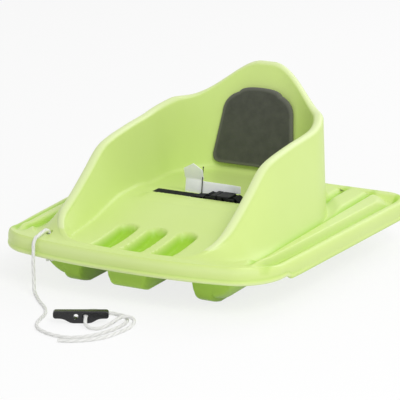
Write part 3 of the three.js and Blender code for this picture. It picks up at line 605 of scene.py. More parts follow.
@dataclass(frozen=True)
class WornPlasticWithPaintedLight(Finish):
    """Moulded plastic that is scratched paler where it slides, with painted shade and painted highlight mixed
    into its colour.
    """

    wear_tint: str = "#e9f3c9"
    # Painted shade colour, mixed in where the shell's shade attribute is above 0.
    painted_shade_tint: str = "#9fd02c"
    # Painted highlight colour, mixed in where the shade attribute is below 0.
    painted_highlight_tint: str = "#e8f3bf"
    wear_height: float = 0.006
    wear_share: float = 0.55
    painted_shade_share: float = 0.85
    painted_highlight_share: float = 0.6
    # Lower specular where the painted shade is fullest.
    painted_shade_specular: float = 0.12

    def surface(self, graph: Graph, groups: SurfaceGroups, shader: Node, made: Sockets) -> Surfaced:
        """The plastic, with wear on the runners' soles, painted shade in its hollows and underneath, and
        painted highlight on rim and lip.
        """
        wear = graph.node("ShaderNodeGroup", {"Vector": made["vector"], "Height limit": self.wear_height},
                          node_tree=groups.wear)
        share = graph.times(wear.outputs[0], self.wear_share)
        # The shade attribute: above 0 it paints shade, below 0 it paints highlight.
        shade = graph.attribute("shade")
        specular = graph.spread(shade, 0.0, 1.0, self.specular, self.painted_shade_specular)
        graph.feed(shader.inputs["Specular IOR Level"], specular)
        # Painted shade.
        deep = graph.spread(shade, 0.0, 1.0, 0.0, self.painted_shade_share)
        colour = graph.mix(deep, made["colour"], linear(self.painted_shade_tint))
        # Painted highlight.
        crest = graph.spread(shade, 0.0, -1.0, 0.0, self.painted_highlight_share)
        colour = graph.mix(crest, colour, linear(self.painted_highlight_tint))
        colour = graph.mix(share, colour, linear(self.wear_tint))
        return colour, made["height"], graph.maths("MAXIMUM", made["mask"], wear.outputs[0])


@dataclass(frozen=True)
class EdgedFoam(Finish):
    """Closed-cell foam with specks, a little paler at its pressed edge."""

    edge_tint: str = "#6a6b64"
    speck_tint: str = "#7d7e76"
    edge_share: float = 0.8
    cell_scale: float = 900.0
    speck_share: float = 0.3
    speck_depth: float = 0.8
    sheen: float = 0.15

    def surface(self, graph: Graph, groups: SurfaceGroups, shader: Node, made: Sockets) -> Surfaced:
        """The foam, from the pad's own edge attribute."""
        edge = graph.attribute("edge")
        colour = graph.mix(graph.times(edge, self.edge_share), made["colour"], linear(self.edge_tint))
        cells = graph.node("ShaderNodeTexVoronoi", {"Vector": made["vector"], "Scale": self.cell_scale})
        specks = graph.spread(cells.outputs["Distance"], 0.05, 0.3, self.speck_share, 0.0)
        colour = graph.mix(specks, colour, linear(self.speck_tint))
        height = graph.maths("SUBTRACT", made["height"], graph.times(specks, self.speck_depth))
        return colour, height, made["mask"]


@dataclass(frozen=True)
class WovenWeb(Finish):
    """Woven webbing, its threads shown by the strap's own lengths along and across."""

    thread_tint: str = "#1d1e21"
    thread_share: float = 0.8
    grain_share: float = 0.2
    sheen: float = 0.03

    def surface(self, graph: Graph, groups: SurfaceGroups, shader: Node, made: Sockets) -> Surfaced:
        """The webbing, from the strap's own attributes."""
        weave = graph.node("ShaderNodeGroup", {"Along": graph.attribute("along"),
                                               "Across": graph.attribute("across")}, node_tree=groups.weave)
        share = graph.times(weave.outputs["Mask"], self.thread_share)
        colour = graph.mix(share, made["colour"], linear(self.thread_tint))
        height = graph.maths("ADD", weave.outputs["Height"], graph.times(made["height"], self.grain_share))
        return colour, height, weave.outputs["Mask"]


@dataclass(frozen=True)
class TwistedFibre(Finish):
    """White rope, shaded darker in the furrows between its strands."""

    furrow_tint: str = "#d9dad6"
    furrow_share: float = 0.75
    sheen: float = 0.3

    def surface(self, graph: Graph, groups: SurfaceGroups, shader: Node, made: Sockets) -> Surfaced:
        """The rope, from its own lobe attribute."""
        lobe = graph.attribute("lobe")
        share = graph.spread(lobe, -1.0, 0.2, self.furrow_share, 0.0)
        colour = graph.mix(share, made["colour"], linear(self.furrow_tint))
        return colour, made["height"], made["mask"]


# The shell's plastic, with painted shade and painted highlight.
SHELL_FINISH = WornPlasticWithPaintedLight("moulded_lime_plastic", "#d6ea93", "#d2e78a", 0.40, drift_scale=3.0,
                           fine_scale=1100.0, slow_scale=30.0, bump=0.10, specular=0.45)
FOAM_FINISH = EdgedFoam("dark_pad_foam", "#474843", "#4f504a", 0.9, drift_scale=60.0, fine_scale=1500.0,
                        bump=0.5, specular=0.3)
WEB_FINISH = WovenWeb("black_webbing", "#0d0e11", "#131417", 0.9, drift_scale=80.0, bump=0.7, specular=0.15)
BUCKLE_FINISH = Finish("satin_black_plastic", "#101114", "#16171a", 0.55, drift_scale=40.0, fine_scale=1600.0,
                       bump=0.25, specular=0.2)
HANDLE_FINISH = Finish("glossy_black_plastic", "#111214", "#18191b", 0.22, drift_scale=30.0, fine_scale=700.0,
                       bump=0.06)
CARD_FINISH = Finish("blank_pale_card", "#fafaff", "#f3f4fb", 0.62, drift_scale=45.0, fine_scale=1800.0,
                     bump=0.3, specular=0.35)
ROPE_FINISH = TwistedFibre("white_rope", "#f3f3f1", "#eaeae7", 0.85, drift_scale=90.0, fine_scale=2400.0,
                           bump=0.5, specular=0.3)
THREAD_FINISH = Finish("black_sewing_thread", "#2a2b2f", "#232428", 0.7, drift_scale=200.0, fine_scale=3000.0,
                       bump=0.3)


class GeometryTree:
    """A Geometry Nodes tree with named inputs, applied to one object at a time."""

    def __init__(self, name: str, inputs: Sequence[tuple[str, str, object]]) -> None:
        """Starts the tree.

        Args:
            name: The tree's name.
            inputs: Name, socket type and first value of each input after the geometry.
        """
        tree = bpy.data.node_groups.new(name, "GeometryNodeTree")
        tree.interface.new_socket(name="Geometry", in_out="INPUT", socket_type="NodeSocketGeometry")
        self.identifiers = add_inputs(tree, inputs)
        tree.interface.new_socket(name="Geometry", in_out="OUTPUT", socket_type="NodeSocketGeometry")
        self.graph = Graph(tree)
        self.entry = tree.nodes.new("NodeGroupInput")
        self.exit = tree.nodes.new("NodeGroupOutput")

    def given(self, name: str) -> NodeSocket:
        """The socket of a named input inside the tree."""
        return self.entry.outputs[name]

    def path(self) -> NodeSocket:
        """The given edges as curves."""
        return self.graph.node("GeometryNodeMeshToCurve", {"Mesh": self.given("Geometry")}).outputs[0]

    def store(self, geometry: NodeSocket, name: str, value: NodeSocket) -> NodeSocket:
        """Stores a number with each point."""
        inputs = {"Geometry": geometry, "Name": name, "Value": value}
        return self.graph.node("GeometryNodeStoreNamedAttribute", inputs).outputs[0]

    def stored(self, name: str) -> NodeSocket:
        """Reads a number that was stored with each point."""
        return self.graph.node("GeometryNodeInputNamedAttribute", {"Name": name}).outputs[0]

    def finish(self, geometry: NodeSocket) -> None:
        """Ends the tree with real geometry in one material."""
        real = self.graph.node("GeometryNodeRealizeInstances", {0: geometry}).outputs[0]
        painted = self.graph.node("GeometryNodeSetMaterial", {
            "Geometry": real, "Material": self.given("Material")})
        self.graph.feed(self.exit.inputs[0], painted.outputs[0])

    def apply(self, obj: Object, values: dict[str, object]) -> None:
        """Runs the tree on an object and leaves a plain mesh."""
        modifier = obj.modifiers.new(self.graph.tree.name, "NODES")
        modifier.node_group = self.graph.tree
        for name, value in values.items():
            modifier[self.identifiers[name]] = value
        bake_modifiers(obj)


def rope_tree() -> GeometryTree:
    """A rope of twisted strands along a path of edges."""
    tree = GeometryTree("Twisted rope", [
        ("Diameter", FLOAT_SOCKET, 0.0064), ("Step", FLOAT_SOCKET, 0.0016), ("Sides", "NodeSocketInt", 24),
        ("Strands", "NodeSocketInt", 3), ("Lay", FLOAT_SOCKET, 0.016), ("Relief", FLOAT_SOCKET, 0.0004),
        ("Material", "NodeSocketMaterial", None)])
    graph = tree.graph
    place = graph.node("GeometryNodeSplineParameter").outputs
    even = graph.node("GeometryNodeResampleCurve", {"Curve": tree.path(), "Length": tree.given("Step")},
                      mode="LENGTH").outputs[0]
    marked = tree.store(even, "along", place["Length"])
    radius = graph.maths("DIVIDE", tree.given("Diameter"), 2.0)
    circle = graph.node("GeometryNodeCurvePrimitiveCircle", {
        "Resolution": tree.given("Sides"), "Radius": radius})
    ring = tree.store(circle.outputs[0], "around", place["Factor"])
    tube = graph.node("GeometryNodeCurveToMesh", {"Curve": marked, "Profile Curve": ring, "Fill Caps": True})
    twist = graph.maths("ADD", graph.times(tree.stored("around"), tree.given("Strands")),
                        graph.maths("DIVIDE", tree.stored("along"), tree.given("Lay")))
    lobe = graph.maths("COSINE", graph.times(twist, 2 * math.pi))
    depth = graph.times(graph.maths("SUBTRACT", lobe, 1.0),
                        graph.maths("DIVIDE", tree.given("Relief"), 2.0))
    normal = graph.node("GeometryNodeInputNormal").outputs[0]
    outward = graph.node("ShaderNodeVectorMath", {0: normal, "Scale": depth}, operation="SCALE")
    named = tree.store(tube.outputs[0], "lobe", lobe)
    moved = graph.node("GeometryNodeSetPosition", {"Geometry": named, "Offset": outward.outputs[0]})
    tree.finish(graph.node("GeometryNodeSetShadeSmooth", {0: moved.outputs[0]}).outputs[0])
    return tree


def stitch_tree() -> GeometryTree:
    """Stitches of thread at even steps along paths of edges."""
    tree = GeometryTree("Stitch rows", [
        ("Pitch", FLOAT_SOCKET, 0.0026), ("Length", FLOAT_SOCKET, 0.0019),
        ("Thickness", FLOAT_SOCKET, 0.0006), ("Material", "NodeSocketMaterial", None)])
    graph = tree.graph
    spots = graph.node("GeometryNodeCurveToPoints", {"Curve": tree.path(), "Length": tree.given("Pitch")},
                       mode="LENGTH")
    thread = graph.node("GeometryNodeMeshUVSphere", {"Segments": 8, "Rings": 5, "Radius": 0.5}).outputs[0]
    size = graph.node("ShaderNodeCombineXYZ", {0: tree.given("Thickness"), 1: tree.given("Thickness"),
                                               2: tree.given("Length")}).outputs[0]
    shaped = graph.node("GeometryNodeTransform", {"Geometry": thread, "Scale": size}).outputs[0]
    placed = graph.node("GeometryNodeInstanceOnPoints", {"Points": spots.outputs[0], "Instance": shaped,
                                                         "Rotation": spots.outputs["Rotation"]}).outputs[0]
    tree.finish(graph.node("GeometryNodeSetShadeSmooth", {0: placed}).outputs[0])
    return tree


@dataclass(frozen=True)
class Lamp:
    """One soft lamp: where it stands, what it points at, its side and its power."""

    name: str
    place: Place
    aim: Place
    side: float
    power: float

    def build(self) -> None:
        """Adds the lamp to the scene."""
        data = bpy.data.lights.new(self.name, "AREA")
        data.shape = "SQUARE"
        data.size = self.side
        data.energy = self.power
        lamp = link_object(self.name, data)
        lamp.location = self.place
        away = Vector(self.aim) - Vector(self.place)
        lamp.rotation_euler = away.to_track_quat("-Z", "Y").to_euler()


@dataclass(frozen=True)
class Studio:
    """The camera at the photograph's angle, a pale floor and plain soft light."""

    azimuth: float = 27.7
    elevation: float = 15.8
    distance: float = 4139.0
    target: Place = (50.3, -88.8, 142.0)
    lens: float = 216.0
    sensor: float = 36.0
    floor_side: float = 12.0
    world_strength: float = 0.58
    floor_glow: float = 0.8
    floor_grey: float = 0.93
    clip_end: float = 60.0
    lamps: tuple[Lamp, ...] = (
        Lamp("soft_key", (1.9, -1.5, 2.3), (0.0, 0.0, 0.1), 1.3, 44.0),
        Lamp("soft_rear", (0.6, 2.4, 1.9), (0.0, 0.1, 0.15), 1.8, 18.0),
    )

    def build(self) -> None:
        """Adds the camera, the lamps, the world and the floor."""
        scene = bpy.context.scene
        a, e = math.radians(self.azimuth), math.radians(self.elevation)
        back = Vector((math.sin(a) * math.cos(e), -math.cos(a) * math.cos(e), math.sin(e)))
        right = Vector((math.cos(a), math.sin(a), 0.0))
        up = back.cross(right)
        data = bpy.data.cameras.new("camera")
        data.lens = self.lens
        data.sensor_width = self.sensor
        data.clip_end = self.clip_end
        camera = link_object("camera", data)
        turn = Matrix((right, up, back)).transposed().to_4x4()
        camera.matrix_world = Matrix.Translation((Vector(self.target) + back * self.distance) * MM) @ turn
        scene.camera = camera
        scene.view_settings.view_transform = "Standard"
        for lamp in self.lamps:
            lamp.build()
        self._world(scene)
        self._floor()

    def _seen(self, graph: Graph) -> NodeSocket:
        """1 for rays from the camera, and for glossy and transmission rays."""
        path = graph.node("ShaderNodeLightPath").outputs
        return graph.maths("MAXIMUM", path["Is Camera Ray"],
                           graph.maths("MAXIMUM", path["Is Glossy Ray"], path["Is Transmission Ray"]))

    def _world(self, scene: bpy.types.Scene) -> None:
        """A white backdrop that lights the sled at a plain level."""
        world = bpy.data.worlds.new("studio")
        scene.world = world
        graph = fresh_graph(world)
        light = graph.node("ShaderNodeBackground", {"Color": WHITE, "Strength": self.world_strength})
        white = graph.node("ShaderNodeBackground", {"Color": WHITE, "Strength": 1.0})
        graph.show("ShaderNodeOutputWorld", graph.node("ShaderNodeMixShader", {
            0: self._seen(graph), 1: light.outputs[0], 2: white.outputs[0]}))

    def _floor(self) -> None:
        """A wide pale floor."""
        half = self.floor_side / 2 / MM
        corners = np.array([(-half, -half, 0), (half, -half, 0), (half, half, 0), (-half, half, 0)])
        floor = mesh_object("floor", corners, [(0, 1, 2, 3)])
        material = bpy.data.materials.new("pale_floor")
        graph = fresh_graph(material)
        matt = graph.node("ShaderNodeBsdfDiffuse", {"Color": (*[self.floor_grey] * 3, 1)})
        glow = graph.node("ShaderNodeEmission", {"Color": WHITE, "Strength": 1.0})
        share = graph.times(self._seen(graph), self.floor_glow)
        graph.show("ShaderNodeOutputMaterial", graph.node("ShaderNodeMixShader", {
            0: share, 1: matt.outputs[0], 2: glow.outputs[0]}))
        floor.data.materials.append(material)


@dataclass(frozen=True)
class TowHandle:
    """The black tow handle: straight along its top and deeper in the middle."""

    length: float = 92.0
    depth: float = 21.0
    end: float = 13.0
    thick: float = 14.0
    belly_shares: Place = (0.82, 0.5, 0.22)
    hole_side: float = 8.0
    hole_height: float = 12.0
    hole_radius: float = 4.0
    place: Place = (-12.0, -391.0, 0.3)
    turn: float = 0.48
    bevel: float = 2.2
    corner_steps: int = 6
    belly_steps: int = 15
    hole_sides: int = 28

    def outline(self) -> list[Share]:
        """The handle's outline, its top along +Y."""
        half, low, r = self.length / 2, self.depth - self.end, self.end / 3
        outer, bend, inner = (share * half for share in self.belly_shares)

        def corner(cx: float, cy: float, first: float) -> list[Share]:
            """A quarter turn of the outline about a corner's middle."""
            steps = self.corner_steps
            turns = [math.radians(first + 90 * i / steps) for i in range(steps + 1)]
            return [(cx + r * math.cos(t), cy + r * math.sin(t)) for t in turns]

        def belly(x0: float, y0: float, x1: float, y1: float) -> list[Share]:
            """The soft step between an end and the belly."""
            rows = []
            middle = math.copysign(bend, x0)
            for i in range(1, self.belly_steps):
                t = i / self.belly_steps
                k = (1 - t) ** 3, 3 * (1 - t) ** 2 * t, 3 * (1 - t) * t**2, t**3
                rows.append((k[0] * x0 + (k[1] + k[2]) * middle + k[3] * x1,
                             (k[0] + k[1]) * y0 + (k[2] + k[3]) * y1))
            return rows

        return [
            *corner(-half + r, low + r, 180), (-outer, low), *belly(-outer, low, -inner, 0), (-inner, 0),
            (inner, 0), *belly(inner, 0, outer, low), (outer, low), *corner(half - r, low + r, 270),
            *corner(half - r, self.depth - r, 0), *corner(-half + r, self.depth - r, 90)]

    def build(self, material: Material) -> Object:
        """Makes the handle, lying on its edge on the ground."""
        turns = [2 * math.pi * i / self.hole_sides for i in range(self.hole_sides)]
        r = self.hole_radius
        holes = [[(side * self.hole_side + r * math.cos(t), self.hole_height + r * math.sin(t))
                  for t in turns] for side in (-1, 1)]
        stand = Matrix.Rotation(math.pi / 2, 4, "X") @ Matrix.Rotation(self.turn, 4, "Y")
        place = Matrix.Translation(Vector(self.place) * MM) @ stand
        obj = plate("tow_handle_moulding", [self.outline(), *holes], self.thick, self.bevel, place)
        return dress(obj, material, Slot.HARDWARE, "tow_handle")


@dataclass(frozen=True)
class TowRope:
    """The white tow rope: its route, the same as the part's source gives it, and its stop knot."""

    diameter: float = 6.4
    length: float = 983.9
    knot_place: Place = (-162.0, -240.0, 50.2)
    knot_reach: float = 2.02
    knot_rise: float = 4.1
    knot_diameter: float = 6.2
    knot_points: int = 90
    knot_step: float = 1.2
    path_steps: int = 14
    route: tuple[Place, ...] = (
        (-162, -240, 58), (-162, -239, 74), (-162, -238.5, 87.5), (-162.1, -239.5, 92.7),
        (-162.3, -242.5, 97), (-162.6, -246.8, 100), (-163, -252, 101), (-163.7, -262.5, 99),
        (-164.6, -273, 96.3), (-165, -278.1, 95.3), (-165.4, -282.4, 92.4), (-165.7, -285.3, 88.1),
        (-166, -286.3, 83), (-166, -287.3, 68), (-165.6, -288.8, 50), (-164, -291, 33), (-160, -297, 16),
        (-154.5, -305, 8), (-146, -314, 4.6), (-126, -336, 3.6), (-98, -364, 3.6), (-82, -390, 3.6),
        (-76, -414, 3.6), (-69, -437, 3.6), (-54, -458, 3.6), (-30, -471, 3.6), (-8, -476, 3.6),
        (14, -474, 3.6), (38, -454, 3.6), (54, -420, 3.6), (60, -386, 3.6), (56, -358, 3.6),
        (42, -340, 3.6), (22, -337, 4.2), (2, -344, 7), (-10, -356, 11), (-12.5, -369, 12.3),
        (-9.7, -378, 12.3), (-4.9, -387.3, 12.3), (-0.1, -396.6, 12.3), (4.5, -405, 10.8), (7, -410, 9.4),
        (12, -415.7, 6.9), (19, -418.4, 4.8), (26.7, -417.6, 3.8), (33.1, -413.3, 3.6), (38, -405, 4.1),
        (43, -394, 6.2), (46.3, -383, 9.2), (48, -373, 11), (49.9, -366, 11.6), (55, -360.9, 11.8),
        (62, -359, 11.4), (69, -360.9, 10), (74.1, -366, 8), (76, -373, 6), (76.3, -387, 3.9),
        (73, -415, 3.6), (65, -445, 3.6), (48, -469, 3.6), (25, -487, 3.6), (5, -495, 3.6),
    )

    def build(self, material: Material, handle: Object) -> None:
        tree = rope_tree()
        path = centripetal_path(self.route, self.path_steps)
        edges = [(i, i + 1) for i in range(len(path) - 1)]
        rope = mesh_object("tow_rope_strands", path, [], edges)
        tree.apply(rope, {"Diameter": self.diameter * MM, "Material": material})
        recalculate_normals(rope)
        knot = self._knot(tree, material)
        dress(knot, material, Slot.ROPE, "rope_stop_knot")
        dress(rope, material, Slot.ROPE, "tow_rope")

    def _knot(self, tree: GeometryTree, material: Material) -> Object:
        """A tight overhand knot that is too thick for the rope's hole."""
        t = np.linspace(0, 2 * np.pi, self.knot_points, endpoint=False)
        x = (np.sin(t) + 2 * np.sin(2 * t)) * self.knot_reach
        y = (np.cos(t) - 2 * np.cos(2 * t)) * self.knot_reach
        z = -np.sin(3 * t) * self.knot_rise
        loop = np.stack([x, y, z], axis=1) + np.array(self.knot_place)
        edges = [(i, (i + 1) % len(loop)) for i in range(len(loop))]
        knot = mesh_object("rope_stop_overhand_knot", loop, [], edges)
        tree.apply(knot, {"Diameter": self.knot_diameter * MM, "Step": self.knot_step * MM,
                          "Material": material})
        recalculate_normals(knot)
        return knot


class Part(Enum):
    """The parts of each loop of the shell, from the middle of the front to the middle of the rear."""

    FRONT = 0
    FRONT_CORNER = 1
    SIDE = 2
    REAR_CORNER = 3
    REAR = 4


@dataclass(frozen=True)
class Stations:
    """Places round each loop of the shell, as a part, a share of it and a side of the sled."""

    front: int = 30
    front_corner: int = 26
    side: int = 58
    rear_corner: int = 40
    rear: int = 60

    def table(self) -> tuple[Array, Array, Array]:
        """The part, the share and the side of every station."""
        part: list[int] = []
        share: list[float] = []
        for kind, count in zip(Part, astuple(self)):
            steps = count + (1 if kind is Part.REAR else 0)
            part += [kind.value] * steps
            share += [i / count for i in range(steps)]
        half = len(part)
        side = [1] * half + [-1] * (half - 2)
        return np.array(part + part[1:-1][::-1]), np.array(share + share[1:-1][::-1]), np.array(side)


@dataclass(frozen=True)
class RowCounts:
    """How many rows of points each stretch of the shell's skin has."""

    floor: int = 62
    wall: int = 30
    rim: int = 13
    outside: int = 17
    deck: int = 34
    lip_steps: int = 2


@dataclass(frozen=True)
class PaintedLight:
    """Where the green is painted deeper as shade or paler as highlight, in millimetres, and how strongly, as
    shares.

    The pairs for the painted highlights on the lip's lower edge and on its top, and for the darker line over
    the lower edge, are a middle and a spread. The other pairs are two distances from an edge, or the room
    that is kept below and above.
    """

    channel_edge: Share = (0.72, 1.0)
    channel_room: Share = (4.0, 2.0)
    deck_start: float = 0.9
    rib_top: float = 0.9
    deck_depth: float = 2.0
    groove_widening: float = 1.1
    lip_line: float = 0.8
    lip_line_inside: Share = (-8.0, -2.0)
    lip_line_outside: Share = (3.0, 8.0)
    lip_line_share: float = 0.8
    below: Share = (-12.0, 2.0)
    underside_shade_share: float = 0.78
    crest: Share = (-7.0, -1.0)
    crest_over_nose: float = 12.0
    wall_room: Share = (3.0, 2.0)
    hem_highlight: Share = (2.2, 2.2)
    hem_highlight_share: float = 0.9
    seam: Share = (8.5, 2.0)
    dark_line_over_hem_share: float = 0.22
    glow: Share = (-8.0, 6.0)
    lip_top_highlight_share: float = 0.35
    lip_top_highlight_length: float = 50.0


@dataclass(frozen=True)
class Ring:
    """One loop in plan: a rounded shape with its own width and corners at each end."""

    front: float
    rear: float
    half_front: float
    half_rear: float
    corner_front: float
    corner_rear: float

    def mixed(self, other: "Ring", share: float) -> "Ring":
        """The loop between this one and another."""
        return Ring(*(a + (b - a) * share for a, b in zip(astuple(self), astuple(other))))

    def inset(self, side: float, end: float | None = None, least: float = 24.0) -> "Ring":
        """The loop moved inwards by a distance."""
        end = side if end is None else end
        return Ring(self.front + end, self.rear - side, self.half_front - side, self.half_rear - side,
                    max(self.corner_front - side, least), max(self.corner_rear - side, least))

    @property
    def middle(self) -> float:
        """The middle of its length."""
        return (self.front + self.rear) / 2

    def shrunk(self, share: float) -> "Ring":
        """The loop scaled about its own middle."""
        middle = self.middle
        return Ring(middle + (self.front - middle) * share, middle + (self.rear - middle) * share,
                    *(v * share for v in astuple(self)[2:]))


@dataclass(frozen=True)
class Shell:
    """The moulded tub, deck, lip, belly and runners, in one skin of plastic."""

    stations: Stations = Stations()
    rows: RowCounts = RowCounts()
    # Where the plastic's painted shade and painted highlight go.
    tint: PaintedLight = PaintedLight()
    half_length: float = 293.0
    half_width_front: float = 262.0
    bow_depth: float = 38.0
    bow_power: float = 2.4
    bow_fade: Share = (0.86, 0.4)
    deck_fall: Share = (0.9, 0.62)
    hem_fall: Share = (0.62, 0.56)
    rib_front: Share = (0.86, 0.7)
    deck_height: float = 84.0
    nose_height: float = 92.0
    belly_height: float = 58.0
    belly_shares: tuple[float, ...] = (1.0, 0.97, 0.75, 0.5, 0.25)
    pole_share: float = 0.02
    front_hem: float = 61.0
    side_hem: float = 53.0
    tub_front: float = -264.0
    shoulder_y: float = 185.0
    seat_dip: float = 8.0
    footwell_height: float = 87.0
    seat_dip_run: float = 58.0
    seat_dip_start: float = SLOT_Y + 12.5
    shoulder_height: float = 246.0
    head_rise: float = 64.0
    head_flat: float = 12.0
    head_half: float = 135.0
    head_fade: Share = (100.0, 180.0)
    head_lean: float = 0.23
    rim_round: float = 8.0
    rim_fade: float = 78.0
    lip_width: float = 24.0
    foot: Ring = Ring(-258, 192, 120, 132, 39, 52)
    rim_in: Ring = Ring(-264, 252, 148, 153, 58, 134)
    rim_out: Ring = Ring(-264 - 19 / 3, 271, 167, 172, 78, 153)
    tub_base: Ring = Ring(-273.5, 236, 214, 214, 78, 200)
    lip_edge: Ring = Ring(-293, 293, 262, 289, 62, 48)
    rim_shares: tuple[Share, ...] = ((0, 0), (0.042, 0.05), (0.134, 0.215), (0.232, 0.373), (0.334, 0.563),
                                     (0.428, 0.747), (0.5, 0.81), (0.677, 0.868), (0.833, 0.9),
                                     (0.922, 0.945), (1, 1))
    floor_shares: tuple[Share, ...] = ((0, 0), (0.12, 0.02), (0.28, 0.32), (0.42, 0.8), (0.51, 1), (1, 1))
    wall_shares: tuple[Share, ...] = ((0, 0), (0.2, 0.01), (0.3, 0.03), (0.4, 0.07), (0.6, 0.38),
                                      (0.8, 0.69), (1, 1))
    outer_shares: tuple[Share, ...] = ((0, 0), (0.3, 0.36), (0.58, 0.7), (0.8, 0.9), (1, 1))
    rib_height: float = 8.5
    groove_depth: float = 7.5
    grooves: tuple[float, ...] = (218.0, 165.0, 112.0)
    groove_spread: float = 5.5
    rib_rear: Share = (258.0, 271.0)
    rib_start: Share = (1.0, 11.0)
    lip_groove: Share = (0.74, 1.0)
    rear_lip_share: float = 0.6
    channels: tuple[float, ...] = (-58.0, 0.0, 58.0)
    channel_half: float = 20.0
    channel_depth: float = 20.0
    channel_front: float = -255.0
    channel_rear: float = -136.0
    channel_depth_shares: tuple[Share, ...] = ((0, 1), (0.4, 1), (0.75, 0.9), (0.92, 0.75), (1, 0.6))
    channel_edge: Share = (0.6, 1.06)
    channel_start: Share = (-1.5, 5.0)
    ledge_height: float = 4.0
    ledge_y: tuple[float, float, float, float] = (-52.0, -22.0, -8.0, -4.2)
    ledge_x: Share = (86.0, 106.0)
    runner_middle: float = 127.0
    runner_half: float = 23.0
    keel_half: float = 40.0
    keel_bottom: float = 19.0
    keel_front: float = -262.0
    keel_nose: float = 24.0
    runner_front: float = -228.0
    runner_rear: float = 238.0
    nose_length: float = 42.0
    tail_length: float = 55.0
    runner_flare: float = 34.0
    runner_draft: float = 5.0
    runner_sunk: float = 2.6
    runner_least: float = 0.02
    runner_narrowing: float = 0.22
    sole_round: float = 7.0
    sole_round_share: float = 0.45
    sole_steps: int = 7
    bulge_steps: int = 12
    bulge_power: Share = (1.0, 1.55)
    plain_power: Share = (0.5, 1.0)
    nose_places: tuple[float, ...] = (0, 0.003, 0.008, 0.016, 0.03, 0.055)
    nose_even: tuple[float, float, int] = (0.09, 1, 22)
    nose_shares: tuple[Share, ...] = ((0, 0), (0.006, 0.3), (0.02, 0.54), (0.12, 0.74), (0.35, 0.86),
                                      (0.65, 0.94), (1, 1))
    rope_hole: Place = (-162.0, -240.0, 6.0)
    drain: Place = (-88.0, 60.0, 4.0)
    drain_over: float = 8.0
    hole_sides: int = 40
    hole_over: float = 20.0
    slot_length: float = 27.4
    slot_reach: Share = (6.0, 10.0)
    room_sides: Share = (1.5, 16.0)
    room_half: float = 24.0
    room_depth: float = 24.0
    sharp_degrees: float = 42.0
    # The lip's section: how far in at the sides and at the front, then a share of its height or a rise
    lip_inside: tuple[Place, ...] = ((24.0, 8.0, 0.0), (20.0, 7.4, 0.35), (15.5, 6.8, 0.88))
    lip_outside: tuple[Place, ...] = ((12.0, 6.0, 0.0), (8.0, 4.8, 0.0), (4.2, 3.4, 0.06), (1.6, 1.6, 0.2),
                                      (0.3, 0.3, 0.4), (0.4, 0.4, 0.66))
    lip_hem: tuple[Place, ...] = ((0.5, 0.5, 8.0), (-0.7, -0.7, 5.6), (-0.9, -0.9, 2.8), (0.6, 0.6, 0.4),
                                  (3.2, 3.2, -0.2), (5.6, 5.6, 1.2), (6.6, 6.6, 4.0), (9.0, 9.0, 11.0))

    def from_front(self, shares: Share, y: Array) -> Array:
        """A soft step from 0 to 1 between two shares of the half length in front of the middle."""
        return smooth_step(-self.half_length * shares[0], -self.half_length * shares[1], y)

    def bow(self, x: Array, y: Array) -> Array:
        """How far the front is swept back away from the middle."""
        fade = 1 - self.from_front(self.bow_fade, y)
        return self.bow_depth * (np.abs(x) / self.half_width_front) ** self.bow_power * fade

    def plan(self, ring: Ring) -> tuple[Array, Array]:
        """The stations of one loop in plan."""
        part, t, side = self.stations.table()
        turn = t * np.pi / 2
        which = [part == kind.value for kind in Part]
        start = ring.front + ring.corner_front
        x = np.select(which, [
            (ring.half_front - ring.corner_front) * t,
            ring.half_front - ring.corner_front * (1 - np.sin(turn)),
            blend(ring.half_front, ring.half_rear, t),
            ring.half_rear - ring.corner_rear * (1 - np.cos(turn)),
            (ring.half_rear - ring.corner_rear) * (1 - t)])
        y = np.select(which, [
            np.full_like(t, ring.front),
            ring.front + ring.corner_front * (1 - np.cos(turn)),
            blend(start, ring.rear - ring.corner_rear, t),
            ring.rear - ring.corner_rear * (1 - np.sin(turn)),
            np.full_like(t, ring.rear)])
        x = x * side
        return x, y + self.bow(x, y)

    def level(self, ring: Ring, height: Surface, lean: float = 0.0) -> Array:
        """One loop with its heights, leaned back where the head rest rises."""
        x, y = self.plan(ring)
        rear = smooth_step(0, self.rim_in.rear, y)
        back = lean * self.head_lean * self.head_rise * self.head_shape(x) * rear
        return np.stack([x, y + back, np.broadcast_to(height(x, y), x.shape)], axis=1)

    def head_shape(self, x: Array) -> Array:
        """1 over the head rest, fading to 0 at its sides."""
        return 1 - smooth_step(self.head_flat, self.head_half, np.abs(x))

    def along_tub(self, y: Array) -> Array:
        """The share of the tub's length."""
        return (y - self.tub_front) / (self.shoulder_y - self.tub_front)

    def rim_height(self, x: Array, y: Array) -> Array:
        """The height of the tub's rim."""
        side = blend(self.nose_height, self.shoulder_height, share_curve(self.rim_shares, self.along_tub(y)))
        rear = smooth_step(*self.head_fade, y)
        return side + self.head_rise * self.head_shape(x) * rear

    def floor_height(self, x: Array, y: Array) -> Array:
        """The height of the footwell and the seat."""
        rise = np.minimum(1.0, share_curve(self.floor_shares, self.along_tub(y)))
        dip = smooth_step(self.seat_dip_start, self.seat_dip_start + self.seat_dip_run, y)
        return blend(self.footwell_height, SEAT_HEIGHT, rise) - self.seat_dip * dip

    def channel_reach(self, x: Array, y: Array, middle: float) -> Array:
        """How far a place lies from a channel's middle line, 1 at its edge and round its rear end."""
        tail = np.maximum(0.0, (y - self.channel_rear) / self.channel_half + 1)
        return np.hypot((x - middle) / self.channel_half, tail)

